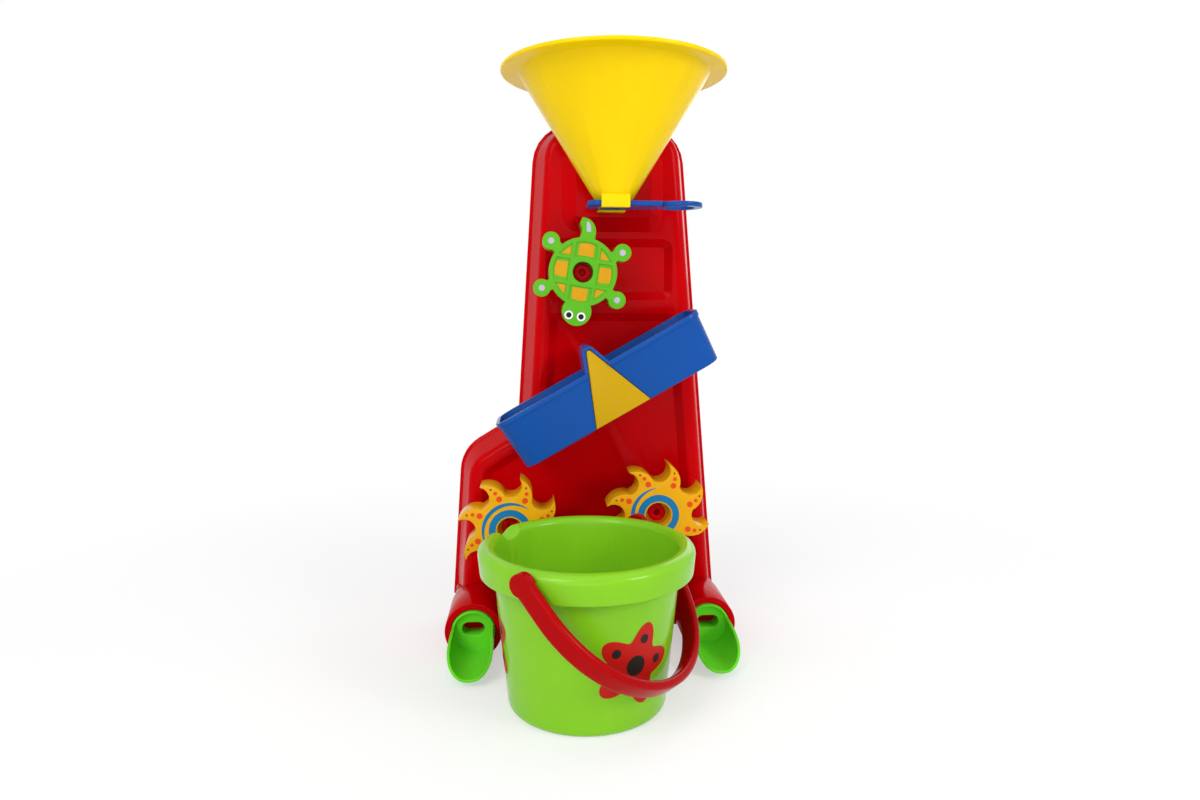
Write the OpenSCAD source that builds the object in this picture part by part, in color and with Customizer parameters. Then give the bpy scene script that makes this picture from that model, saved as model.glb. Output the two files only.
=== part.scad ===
// Sand wheel toy: a moulded tower with a funnel and its gate, a turtle wheel, a tipping trough,
// two sun wheels and two scoops for feet, and the bucket that stands in front of it.
// Millimetres. X to the right, Y away from the viewer, Z up.
// The origin is the middle of the tower's flat underside.

/* [Tower shell] */
// Height of the tower
shell_h = 395; // [375:1:415]
// Depth from the face to the open back
shell_depth = 38; // [34:1:46]
// Reach of the base to the left of the origin
base_left = 108; // [104:1:112]
// Reach of the base to the right of the origin
base_right = 108; // [104:1:112]
// Width of the top edge
top_w = 112; // [106:1:120]
// Middle of the top edge, to the right of the origin
top_shift = 19; // [15:1:23]
// Left side at the waist, from the origin
waist_x = 52; // [49:1:55]
// Height of the waist, as a share of the tower's height
waist_share = 0.4253; // [0.415:0.005:0.435]
// Left side at the shoulder, from the origin
shoulder_x = 98; // [93:1:102]
// Height of the shoulder, as a share of the tower's height
shoulder_share = 0.3544; // [0.34:0.005:0.365]
// How much the sides spread from the face to the back
shell_flare = 8.5; // [6:0.5:11]
// Thickness of the moulded walls
shell_wall = 2.6; // [2:0.1:3.2]
// Radius of the two top corners
top_r = 30; // [24:1:34]
// Radius of the hollow bend at the waist
waist_r = 14; // [8:1:20]
// Radius of the shoulder
shoulder_r = 30; // [24:1:36]
// Radius of the two base corners
base_r = 4; // [2:0.5:8]
// Radius of the edge round the face
face_r = 5; // [3:0.5:7]
// Width of the lip round the open back
lip_w = 1.6; // [0.8:0.2:3]
// Thickness of that lip
lip_t = 3; // [2:0.5:5]

/* [Sunk fields] */
// Depth of the sunk fields in the face
field_depth = 4; // [2:0.5:5]
// Width of the slope round a field
field_slope = 6; // [3:0.5:8]
// Radius of a field's corners
field_r = 9; // [8:0.5:12]
// Width of the upper field
upper_field_w = 97; // [88:1:104]
// Height of the upper field, as a share of the tower's height
upper_field_h_share = 0.1165; // [0.1:0.005:0.125]
// Lower edge of the upper field, as a share of the tower's height
upper_field_share = 0.658; // [0.65:0.002:0.666]
// Border between the lower field and the edge of the face
field_margin = 10; // [6:0.5:14]
// Lower edge of the lower field, as a share of the tower's height
lower_field_share = 0.139; // [0.13:0.005:0.15]
// Upper edge of the lower field, as a share of the tower's height
lower_field_top_share = 0.633; // [0.61:0.005:0.64]

/* [Funnel block] */
// Width of the raised block behind the funnel
block_w = 76; // [68:1:84]
// Middle of the block, to the right of the funnel axis
block_shift = 2.4; // [0:0.2:4]
// How far the block stands out of the face
block_t = 9; // [7:0.5:11]
// Width of the slope round the block
block_slope = 10; // [6:0.5:12]
// Lower edge of the block, as a share of the tower's height
block_share = 0.7873; // [0.78:0.002:0.795]
// Distance from the block to the top of the tower
block_drop = 24; // [18:1:32]
// Radius of the block's corners
block_r = 12; // [11:0.5:15]
// Clearance between the funnel and its cradle
cradle_gap = 0.8; // [0.5:0.1:1.5]

/* [Feet] */
// Distance between the two foot tubes
foot_gap = 173; // [168:1:174]
// Outer diameter of a foot tube
tube_d = 41.5; // [38:0.5:42]
// Wall of a foot tube
tube_wall = 2; // [1.6:0.1:3]
// How far a tube stands out of the face
tube_reach = 47; // [40:1:54]
// Depth of the flat under a tube
tube_flat = 0.8; // [0.4:0.1:1.5]
// Step where a tube narrows behind the face
tube_step = 1; // [0.6:0.1:1.4]
// Clearance of the plugged pieces in the tower
plug_gap = 0.2; // [0.1:0.05:0.4]

/* [Scoops] */
// Wall of a scoop
scoop_wall = 2; // [1.5:0.1:3]
// Clearance between a scoop and its tube
scoop_gap = 0.3; // [0.2:0.05:0.5]
// How far a scoop's lip stands out of its tube
scoop_reach = 45; // [38:0.5:54]
// Length of the plug behind the tube's mouth
plug_l = 14; // [11:0.5:20]
// Height of the brow's lower end over the axis
brow_h = 9; // [6:0.5:12]
// How far the brow stands out of the tube
brow_reach = 2.5; // [1.5:0.5:5]
// Width of the slot in the back wall
slot_w = 19; // [15:0.5:21]
// Height of that slot
slot_h = 11; // [8:0.5:12]
// Height of the slot over the axis
slot_rise = 2.5; // [1:0.5:4]

/* [Funnel] */
// Funnel axis to the right of the origin
funnel_x = 17; // [14:1:20]
// Funnel axis in front of the face
funnel_out = 32; // [30:0.5:34]
// Height of the funnel's rim, as a share of the tower's height
rim_share = 1.0608; // [1.04:0.002:1.1]
// Outer radius of the rim
rim_r = 79; // [74:1:84]
// Thickness of the rim
rim_t = 3; // [2:0.5:4]
// Outer radius of the cone under the rim
cone_r = 67; // [64:1:70]
// Outer radius of the spout
spout_r = 12.7; // [12:0.1:13.5]
// Height of the spout's mouth, as a share of the tower's height
spout_share = 0.8329; // [0.828:0.001:0.838]
// Wall of the funnel
funnel_wall = 2.4; // [2:0.1:3]
// Rounding of the rim's edge
rim_edge_r = 1.2; // [0.6:0.1:1.4]

/* [Gate] */
// Width of the plate
gate_w = 30; // [29:0.5:32]
// Thickness of the plate
gate_t = 3.2; // [2.6:0.1:4]
// End of the plate, to the left of the funnel axis
gate_tail = 19; // [18.5:0.5:21]
// Clearance round the plate
gate_gap = 0.35; // [0.25:0.05:0.6]
// Diameter of the sand hole in the plate
gate_hole_d = 18; // [14:0.5:19]
// Outer diameter of the finger ring
ring_d = 34; // [30:0.5:38]
// Diameter of the finger hole
finger_d = 22; // [18:0.5:24]
// Travel of the gate as it is pushed in
gate_travel = 20; // [18:0.5:22]
// Width of the guides that hold the plate
guide_w = 20; // [18:0.5:21]
// Wall of the guides
guide_wall = 2.4; // [2:0.1:3]
// Reach of a guide's lip under the plate
guide_lip = 3.5; // [2.5:0.5:4]
// Thickness of that lip
guide_lip_t = 1.2; // [1:0.1:2.4]
// Height of the guides over the plate
guide_rise = 4; // [3.5:0.5:8]
// How far the plate's barbs stand out
barb_out = 2; // [1:0.5:2.2]
// Width of the funnel's tongue in the block
tongue_w = 14; // [10:0.5:18]
// Height of the tongue
tongue_h = 8; // [6:0.5:9]
// Depth of the tongue in the block
tongue_l = 6; // [4:0.5:7]

/* [Axle pins] */
// Diameter of an axle pin
pin_d = 8; // [6:0.5:9]
// Diameter of a pin's head
head_d = 13; // [11:0.5:14]
// Thickness of the head
head_t = 3; // [2:0.5:4]
// Diameter of the hollow in the head
pin_hollow_d = 4.5; // [3:0.5:5.5]
// Diameter of the snap barb at the tail
snap_d = 9.6; // [9.4:0.1:11]
// Length of the snap barb
snap_l = 4; // [3:0.5:6]
// Diameter of an axle boss
boss_d = 16; // [14:0.5:18]
// Length of a boss behind the face
boss_tail = 8; // [5:0.5:10]
// Radial clearance of the pins
pin_fit = 0.08; // [0.04:0.01:0.1]
// Axial play of the wheels
wheel_play = 0.5; // [0.3:0.1:0.8]

/* [Wheels] */
// Thickness of the wheels
wheel_t = 23; // [20:0.5:26]
// Gap between the face and the wheels
wheel_gap = 17; // [14:0.5:18]
// Thickness of a wheel's front plate
plate_t = 3; // [2:0.5:4]
// Rim wall of a wheel
wheel_wall = 2.2; // [1.8:0.1:3]
// Depth of the hub's counterbore
hub_depth = 12; // [7:0.5:13]

/* [Turtle wheel] */
// Turtle axle, to the left of the origin
turtle_x = 5.4; // [3:0.2:8]
// Height of the turtle axle, as a share of the tower's height
turtle_share = 0.7076; // [0.7:0.001:0.715]
// Turn of the turtle at rest, in degrees
turtle_turn = -9.3; // [-45:0.1:45]
// Radius of the turtle's shell, as a share of the tower's height
turtle_r_share = 0.0615; // [0.057:0.0005:0.064]
// Radius of a paw, as a share of the shell's radius
paw_r_share = 0.255; // [0.21:0.005:0.28]
// Distance of a paw from the axle, as a share of the shell's radius
paw_share = 1.288; // [1.2:0.005:1.31]
// Width of a paw's neck, as a share of the shell's radius
paw_neck_share = 0.309; // [0.25:0.005:0.36]
// Radius of the head, as a share of the shell's radius
head_r_share = 0.428; // [0.38:0.005:0.45]
// Distance of the head from the axle, as a share of the shell's radius
head_share = 1.152; // [1.08:0.005:1.16]
// Width of the tail at its root, as a share of the shell's radius
tail_w_share = 0.453; // [0.38:0.005:0.52]
// Length of the tail, as a share of the shell's radius
tail_l_share = 0.551; // [0.46:0.005:0.57]
// Diameter of the turtle's hub hole
turtle_hub_d = 14.8; // [14.2:0.1:16]
// Distance of the grid lines from the axle, as a share of the shell's radius
grid_share = 0.37; // [0.36:0.005:0.39]
// Width of a grid line
grid_w = 2.4; // [1.6:0.1:3]
// Border of the shell round its grid
grid_border = 3; // [2:0.1:4]
// Depth of the grid's fields
grid_depth = 0.8; // [0.4:0.1:1.2]

/* [Sun wheels] */
// Left sun axle, to the left of the origin
left_sun_x = 59.2; // [57:0.1:62]
// Height of the left sun axle, as a share of the tower's height
left_sun_share = 0.2352; // [0.228:0.002:0.244]
// Right sun axle, to the right of the origin
right_sun_x = 50; // [46:0.1:52]
// Height of the right sun axle, as a share of the tower's height
right_sun_share = 0.2582; // [0.25:0.002:0.264]
// Turn of the left sun at rest, in degrees
left_sun_turn = 29.5; // [0:0.5:44]
// Turn of the right sun at rest, in degrees
right_sun_turn = 30; // [0:0.5:44]
// Number of rays
ray_count = 8; // [8:1:8]
// Reach of the rays' tips, as a share of the tower's height
sun_r_share = 0.098; // [0.09:0.0005:0.1]
// Radius of a ray's round back, as a share of the tips' reach
ray_r_share = 0.3772; // [0.365:0.0025:0.39]
// Distance of that round back from the axle, as a share of the tips' reach
ray_share = 0.637; // [0.625:0.0025:0.6475]
// Radius of the notch under a hook, as a share of the tips' reach
notch_r_share = 0.2219; // [0.21:0.0025:0.235]
// Distance of the notch from the axle, as a share of the tips' reach
notch_share = 0.8574; // [0.845:0.0025:0.87]
// Diameter of a sun's hub hole
sun_hub_d = 19; // [16:0.5:20]

/* [Tipping trough] */
// Trough axle, to the right of the origin
trough_x = 14.8; // [11:0.1:18]
// Height of the trough axle, as a share of the tower's height
trough_share = 0.4881; // [0.48:0.001:0.494]
// Tilt of the trough at rest, in degrees
trough_tilt = 29.5; // [25:0.5:31]
// Length of the trough, as a share of the tower's height
trough_l_share = 0.4137; // [0.39:0.0025:0.42]
// Depth of the trough, from front to back
trough_depth = 50; // [44:0.5:51]
// Draft of the trough's ends, in degrees
trough_draft = 4.2; // [2:0.1:6]
// Height of the trough's walls, as a share of the tower's height
trough_h_share = 0.0962; // [0.085:0.002:0.1]
// Thickness of the trough's walls
trough_wall = 2.2; // [1.8:0.1:2.8]
// Gap between the face and the trough
trough_gap = 6; // [5:0.5:8]
// Radius of the trough's corners
trough_r = 11; // [8:0.5:16]
// Height of the ridge, as a share of the tower's height
ridge_h_share = 0.1461; // [0.136:0.001:0.152]
// Width of the ridge at its foot, as a share of the tower's height
ridge_w_share = 0.1266; // [0.117:0.002:0.14]
// Radius of the ridge's top
ridge_r = 4.5; // [4:0.1:5]
// Height of the axle over the trough's underside, as a share of the tower's height
axle_h_share = 0.0385; // [0.034:0.001:0.042]
// Height of the band round the trough's rim
band_h = 3.5; // [2:0.5:5]
// How far that band stands out
band_out = 0.8; // [0.4:0.1:1.2]
// Thickness of the yellow cover
cover_t = 2; // [1.6:0.1:3]
// Clearance round the cover
cover_gap = 0.35; // [0.2:0.05:0.5]
// Width of the ledge behind the cover
cover_ledge = 1.5; // [1:0.1:2]
// Distance of the stop peg from the axle, as a share of the tower's height
stop_share = 0.0304; // [0.029:0.0005:0.033]
// Diameter of the stop peg
stop_d = 4; // [3:0.2:4.2]
// Clearance of the stop peg in its slot
stop_gap = 0.4; // [0.3:0.05:0.6]

/* [Bucket] */
// Bucket axis, to the left of the origin
bucket_x = 8; // [5:0.5:10]
// Bucket axis in front of the face
bucket_out = 116; // [115:0.5:124]
// Height of the bucket
bucket_h = 106; // [100:1:110]
// Radius of the bucket's base
bucket_base_r = 51; // [48:0.5:53]
// Outer radius of the bucket's wall under the collar
bucket_neck_r = 61.2; // [59:0.2:62]
// Outer radius of the collar
collar_r = 70; // [69:0.2:71]
// Height of the collar
collar_h = 18; // [15:0.5:21]
// Wall of the bucket
bucket_wall = 2.2; // [1.8:0.1:2.8]
// Radius of the bucket's foot
bucket_foot_r = 5; // [3:0.5:8]
// Depth of the pouring notch
pour_depth = 7; // [4:0.5:9]
// Radius of the pouring notch
pour_r = 12; // [10:0.5:15]

/* [Bail handle] */
// Direction of the bail's pivots, in degrees from the X axis
bail_turn = 57; // [50:1:66]
// Distance of the pivots under the bucket's rim
bail_drop = 6; // [5.5:0.5:9]
// Width of the strap
bail_w = 14; // [11:0.5:16]
// Thickness of the strap
bail_t = 6; // [4.5:0.5:7]
// Clearance between the strap and the collar
bail_gap = 1; // [0.8:0.1:2]
// Straight length of the strap beside the pivots
bail_leg = 22; // [18:0.5:24]
// Droop of the bail below level at rest, in degrees
bail_droop = 48; // [42:0.5:50]
// Diameter of the bail's pivot pins
bail_pin_d = 6; // [5:0.2:7]
// Length of the pivot pins
bail_pin_l = 5; // [4:0.1:5.2]

/* [Hidden] */
$fn = 64;
tower_red = "#C8000F";
funnel_yellow = "#FAD70F";
trough_blue = "#2257AC";
cover_yellow = "#D5A810";
turtle_green = "#6ED228";
bucket_green = "#96DE2D";
scoop_green = "#46B919";
sun_yellow = "#E4B21C";
// Overrun of every cut
over = 1;
// Steps of a rounded corner and of a longer arc
corner_steps = 6;
arc_steps = 7;
// Smallest radius left on a corner that is moved inwards
least_r = 0.5;

// Heights and sizes that follow the tower's height
waist_z = waist_share * shell_h;
shoulder_z = shoulder_share * shell_h;
upper_field_z = upper_field_share * shell_h;
upper_field_h = upper_field_h_share * shell_h;
lower_field_z = lower_field_share * shell_h;
lower_field_top = lower_field_top_share * shell_h;
block_z = block_share * shell_h;
funnel_top = rim_share * shell_h;
spout_z = spout_share * shell_h;
turtle_r = turtle_r_share * shell_h;
paw_r = paw_r_share * turtle_r;
paw_reach = paw_share * turtle_r;
paw_neck_w = paw_neck_share * turtle_r;
head_r = head_r_share * turtle_r;
head_reach = head_share * turtle_r;
tail_w = tail_w_share * turtle_r;
tail_l = tail_l_share * turtle_r;
grid_out = grid_share * turtle_r;
sun_r = sun_r_share * shell_h;
ray_r = ray_r_share * sun_r;
ray_reach = ray_share * sun_r;
notch_r = notch_r_share * sun_r;
notch_reach = notch_share * sun_r;
trough_l = trough_l_share * shell_h;
trough_h = trough_h_share * shell_h;
ridge_h = ridge_h_share * shell_h;
ridge_w = ridge_w_share * shell_h;
axle_h = axle_h_share * shell_h;
stop_out = stop_share * shell_h;
bail_z = bucket_h - bail_drop;

// Places along Y that the pieces share
face_y = -shell_depth / 2;
back_y = shell_depth / 2;
wheel_back_y = face_y - wheel_gap;
wheel_front_y = wheel_back_y - wheel_t;
trough_back_y = face_y - trough_gap;
trough_front_y = trough_back_y - trough_depth;
boss_tail_y = face_y + field_depth + shell_wall + boss_tail;
tube_front_y = face_y - tube_reach;
tube_z = tube_d / 2 - tube_flat;
tube_bore_r = tube_d / 2 - tube_wall;
scoop_r = tube_bore_r - scoop_gap;
funnel_y = face_y - funnel_out;
bucket_y = face_y - bucket_out;

// Outline of the tower's back, counter-clockwise as seen from the front, from the lower left corner
shell_corners = [[-base_left, 0], [base_right, 0], [top_shift + top_w / 2, shell_h],
    [top_shift - top_w / 2, shell_h], [-waist_x, waist_z], [-shoulder_x, shoulder_z]];
shell_radii = [base_r, base_r, top_r, top_r, waist_r, shoulder_r];
// How much of the flare each edge takes: the underside stays flat
flare_shares = [0, 1, 1, 1, 1, 1];
// A point inside the tower that sees the whole outline
shell_hub = [funnel_x / 2, shoulder_z];

// Axles as [x, z]
turtle_axle = [-turtle_x, turtle_share * shell_h];
trough_axle = [trough_x, trough_share * shell_h];
left_sun_axle = [-left_sun_x, left_sun_share * shell_h];
right_sun_axle = [right_sun_x, right_sun_share * shell_h];

// Plane geometry
function unit(v) = v / norm(v);
function turn_of(u, v) = u[0] * v[1] - u[1] * v[0];
function polar(r, a) = r * [cos(a), sin(a)];
function nth(list, i) = list[(i + len(list)) % len(list)];
function mean(a, b) = (a + b) / 2;
function edge_way(c, i) = unit(nth(c, i + 1) - nth(c, i));
function inwards(v) = [-v[1], v[0]];

// Corner i after its two edges have moved inwards by their insets
function moved_corner(c, i, insets) =
    let (
        u = edge_way(c, i - 1),
        v = edge_way(c, i),
        p = c[i] + inwards(u) * nth(insets, i - 1),
        q = c[i] + inwards(v) * insets[i]
    )
    p + u * turn_of(q - p, v) / turn_of(u, v);

// Corner radius after the same move: a round corner tightens and a hollow one opens
function moved_radius(c, i, r, insets) =
    let (step = mean(nth(insets, i - 1), insets[i]))
    turn_of(edge_way(c, i - 1), edge_way(c, i)) > 0 ? max(r - step, least_r) : max(r + step, least_r);

// Arc of radius r that rounds the corner b between a and c
function corner_arc(a, b, c, r, steps) =
    r <= 0 ? [b] :
    let (
        u = unit(a - b),
        v = unit(c - b),
        half = acos(u * v) / 2,
        hub = b + unit(u + v) * r / sin(half),
        first = b + u * r / tan(half) - hub,
        from = atan2(first[1], first[0]),
        way = turn_of(u, v) > 0 ? -1 : 1
    )
    [for (k = [0:steps]) hub + polar(r, from + way * (180 - 2 * half) * k / steps)];

// Outline with each corner rounded by its own radius
function rounded(c, radii, steps) =
    [for (i = [0:len(c) - 1]) each corner_arc(nth(c, i - 1), c[i], nth(c, i + 1), radii[i], steps)];

// Outline with its edges moved inwards, as a ring of points at depth y
function ring(c, radii, insets, y) =
    let (
        moved = [for (i = [0:len(c) - 1]) moved_corner(c, i, insets)],
        eased = [for (i = [0:len(c) - 1]) moved_radius(c, i, radii[i], insets)]
    )
    [for (p = rounded(moved, eased, corner_steps)) [p[0], y, p[1]]];

// Where two circles cross, on the side away from the origin or near it
function crossing(c1, r1, c2, r2, outer) =
    let (
        d = c2 - c1,
        u = unit(d),
        along = (r1 * r1 - r2 * r2 + d * d) / (2 * norm(d)),
        across = sqrt(r1 * r1 - along * along) * inwards(u),
        p = c1 + u * along + across,
        q = c1 + u * along - across
    )
    (norm(p) > norm(q)) == outer ? p : q;

// Points on a circle from p to q, counter-clockwise for way 1, without the last
function swept_arc(c, p, q, way, steps) =
    let (
        a = p - c,
        b = q - c,
        from = atan2(a[1], a[0]),
        span = ((way * (atan2(b[1], b[0]) - from)) % 360 + 360) % 360
    )
    [for (k = [0:steps - 1]) c + polar(norm(a), from + way * span * k / steps)];

// Solid through a row of rings, from the front one to the back one
module loft(rings, hub) {
    count = len(rings[0]);
    last = len(rings) - 1;
    front = len(rings) * count;
    points = concat([for (r = rings) each r], [[hub[0], rings[0][0][1], hub[1]],
        [hub[0], rings[last][0][1], hub[1]]]);
    sides = [for (k = [0:last - 1], j = [0:count - 1])
        let (i = (j + 1) % count, a = k * count, b = a + count)
        each [[a + j, a + i, b + i], [a + j, b + i, b + j]]];
    caps = [for (j = [0:count - 1])
        let (i = (j + 1) % count, a = last * count)
        each [[front, i, j], [front + 1, a + j, a + i]]];
    polyhedron(points, concat(sides, caps));
}

// Round bar along Y
module bar(axle, front, back, r) {
    translate([axle[0], back, axle[1]])
        rotate([90, 0, 0])
            cylinder(h = back - front, r = r);
}

// Flat shape in X and Z, with its thickness along Y
module plate(front, back) {
    translate([0, back, 0])
        rotate([90, 0, 0])
            linear_extrude(back - front)
                children();
}

// Box between two corners
module block(low, high) {
    translate(low)
        cube(high - low);
}

// Flare that is left at depth y
function flare_at(y) = shell_flare * (back_y - y) / shell_depth;

function shell_ring(y, flare, skin) =
    ring(shell_corners, shell_radii, [for (s = flare_shares) s * flare + skin], y);

module shell_body() {
    edge = [for (k = [0:3])
        let (a = 90 * k / 3, y = face_y + face_r * (1 - cos(a)))
        shell_ring(y, flare_at(y), face_r * (1 - sin(a)))];
    lip_y = back_y - lip_t;
    lip = [shell_ring(lip_y, flare_at(lip_y), 0), shell_ring(lip_y + lip_w / 2, -lip_w, 0),
        shell_ring(back_y, -lip_w, 0)];
    loft(concat(edge, lip), shell_hub);
}

module shell_hollow() {
    front = face_y + shell_wall;
    bend = face_r - shell_wall;
    loft([shell_ring(front, flare_at(front), face_r),
        shell_ring(front + bend, flare_at(front + bend), shell_wall),
        shell_ring(back_y + over, 0, shell_wall)], shell_hub);
}

// Sunk field as a solid, grown by skin
module sunk_field(corners, radii, shares, margin, skin, hub) {
    start = [for (s = shares) s * margin - skin];
    end = [for (s = shares) s * margin + field_slope - skin];
    loft([ring(corners, radii, start, face_y - over), ring(corners, radii, start, face_y),
        ring(corners, radii, end, face_y + field_depth + skin)], hub);
}

module upper_field(skin) {
    left = funnel_x - upper_field_w / 2;
    top = upper_field_z + upper_field_h;
    corners = [[left, upper_field_z], [left + upper_field_w, upper_field_z], [left + upper_field_w, top],
        [left, top]];
    sunk_field(corners, [for (c = corners) field_r], [0, 0, 0, 0], 0, skin,
        [funnel_x, mean(upper_field_z, top)]);
}

// Point on the line from a to b at height z
function at_height(a, b, z) = a + (b - a) * (z - a[1]) / (b[1] - a[1]);

module lower_field(skin) {
    c = shell_corners;
    corners = [at_height(c[0], c[5], lower_field_z), at_height(c[1], c[2], lower_field_z),
        at_height(c[1], c[2], lower_field_top), at_height(c[3], c[4], lower_field_top), c[4], c[5]];
    sunk_field(corners, [field_r, field_r, field_r, field_r, waist_r, shoulder_r], [0, 1, 0, 1, 1, 1],
        shell_flare + field_margin, skin, shell_hub);
}

// Raised block behind the funnel, shrunk by skin
module funnel_block(front, back, skin) {
    left = funnel_x + block_shift - block_w / 2;
    top = shell_h - block_drop;
    corners = [[left, block_z], [left + block_w, block_z], [left + block_w, top], [left, top]];
    radii = [for (c = corners) block_r];
    foot = [for (c = corners) skin];
    crown = [block_slope + skin, block_slope + skin, skin, block_slope + skin];
    loft([ring(corners, radii, crown, front), ring(corners, radii, foot, face_y),
        ring(corners, radii, foot, back)], [funnel_x + block_shift, mean(block_z, top)]);
}

// Outer radius of the funnel's cone at height z
function cone_at(z) = spout_r + (cone_r - spout_r) * (z - spout_z) / (funnel_top - rim_t - spout_z);

// Cone that the funnel sits in, grown by gap
module funnel_seat(gap) {
    translate([funnel_x, funnel_y, spout_z])
        cylinder(h = funnel_top - spout_z, r1 = spout_r + gap, r2 = cone_at(funnel_top) + gap);
}

// Room for the funnel's rim, where the tower reaches up to it
module rim_seat() {
    low_z = funnel_top - rim_t - cradle_gap;
    translate([funnel_x, funnel_y, low_z])
        cylinder(h = max(shell_h - low_z, rim_t) + over, r = rim_r + cradle_gap);
}

tongue_z = spout_z + gate_gap;

module tongue(gap) {
    block([funnel_x - tongue_w / 2 - gap, face_y - block_t - gap, tongue_z - gap],
        [funnel_x + tongue_w / 2 + gap, face_y - block_t + tongue_l + gap, tongue_z + tongue_h + gap]);
}

// Axle bosses, each up to the back of what turns on it
module axle_bosses() {
    for (axle = [turtle_axle, left_sun_axle, right_sun_axle])
        bar(axle, wheel_back_y + wheel_play, boss_tail_y, boss_d / 2);
    bar(trough_axle, trough_back_y + wheel_play, boss_tail_y, boss_d / 2);
}

stop_axle = trough_axle + [0, stop_out];
stop_front_y = trough_back_y - trough_wall - wheel_play;

module tower_shell() {
    color(tower_red)
        difference() {
            union() {
                shell_body();
                funnel_block(face_y - block_t, face_y + shell_wall, 0);
            }
            difference() {
                union() {
                    shell_hollow();
                    funnel_block(face_y - block_t + shell_wall, face_y + shell_wall + over, shell_wall);
                }
                upper_field(shell_wall);
                lower_field(shell_wall);
                funnel_seat(cradle_gap + shell_wall);
            }
            upper_field(0);
            lower_field(0);
            funnel_seat(cradle_gap);
            rim_seat();
            tongue(plug_gap);
            for (side = [-1, 1])
                foot_seat(side);
            for (axle = [turtle_axle, left_sun_axle, right_sun_axle, trough_axle])
                bar(axle, face_y - over, back_y, boss_d / 2);
            bar(stop_axle, face_y - over, back_y, stop_d / 2);
        }
    color(tower_red)
        difference() {
            union() {
                axle_bosses();
                bar(stop_axle, stop_front_y, face_y + field_depth + shell_wall, stop_d / 2);
            }
            for (axle = [turtle_axle, left_sun_axle, right_sun_axle, trough_axle])
                bar(axle, trough_front_y, back_y, pin_d / 2 + pin_fit);
        }
}

// Room that the tower leaves for a foot tube, open at its outer corner
module foot_seat(side) {
    axle = [side * foot_gap / 2, tube_z];
    seat_r = tube_d / 2 - tube_step + plug_gap;
    bar(axle, face_y - over, back_y + over, seat_r);
    translate([axle[0], 0, 0])
        mirror([side > 0 ? 0 : 1, 0, 0])
            block([0, face_y - over, -over], [tube_d, back_y + over, tube_z]);
}

module foot_tube(side) {
    axle = [side * foot_gap / 2, tube_z];
    web_y = tube_front_y + plug_l + scoop_gap;
    color(tower_red)
        difference() {
            union() {
                bar(axle, tube_front_y, face_y, tube_d / 2);
                bar(axle, mean(tube_front_y, face_y), back_y, tube_d / 2 - tube_step);
            }
            bar(axle, tube_front_y - over, web_y, tube_bore_r);
            bar(axle, web_y + tube_wall, back_y + over, tube_bore_r - tube_step);
            block([axle[0] - tube_d, tube_front_y - over, -tube_d], [axle[0] + tube_d, back_y + over, 0]);
        }
}

module left_foot_tube() {
    foot_tube(-1);
}

module right_foot_tube() {
    foot_tube(1);
}

// Slot with round ends, grown by skin, from front to back
module slot_way(axle, skin, front, back) {
    run = (slot_w - slot_h) / 2;
    middle = axle + [0, slot_rise];
    half_h = slot_h / 2 + skin;
    for (end = [-1, 1])
        bar(middle + [end * run, 0], front, back, half_h);
    block([middle[0] - run, front, middle[1] - half_h], [middle[0] + run, back, middle[1] + half_h]);
}

module scoop(side) {
    axle = [side * foot_gap / 2, tube_z];
    lip_y = tube_front_y - scoop_reach;
    brow_y = tube_front_y - brow_reach;
    plug_y = tube_front_y + plug_l;
    floor_z = scoop_wall - scoop_r;
    color(scoop_green)
        difference() {
            union() {
                difference() {
                    bar(axle, lip_y, plug_y, scoop_r);
                    bar(axle, lip_y - over, tube_front_y, scoop_r - scoop_wall);
                    bar(axle, tube_front_y + scoop_wall, plug_y + over, scoop_r - scoop_wall);
                }
                slot_way(axle, scoop_wall, tube_front_y + scoop_wall / 2, plug_y);
            }
            slot_way(axle, 0, tube_front_y - over, plug_y + over);
            // The mouth: a brow at the top, then a slope down to the lip
            translate([axle[0] - tube_d / 2, 0, axle[1]])
                rotate([90, 0, 90])
                    linear_extrude(tube_d)
                        polygon([[brow_y, tube_d], [brow_y, brow_h], [lip_y, floor_z],
                            [lip_y - over, floor_z], [lip_y - over, tube_d]]);
        }
}

module left_scoop() {
    scoop(-1);
}

module right_scoop() {
    scoop(1);
}

// Faces of the gate's plate
gate_top_z = spout_z - gate_gap;
gate_low_z = gate_top_z - gate_t;
ring_x = funnel_x + guide_w / 2 + gate_travel + ring_d / 2;

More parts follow.
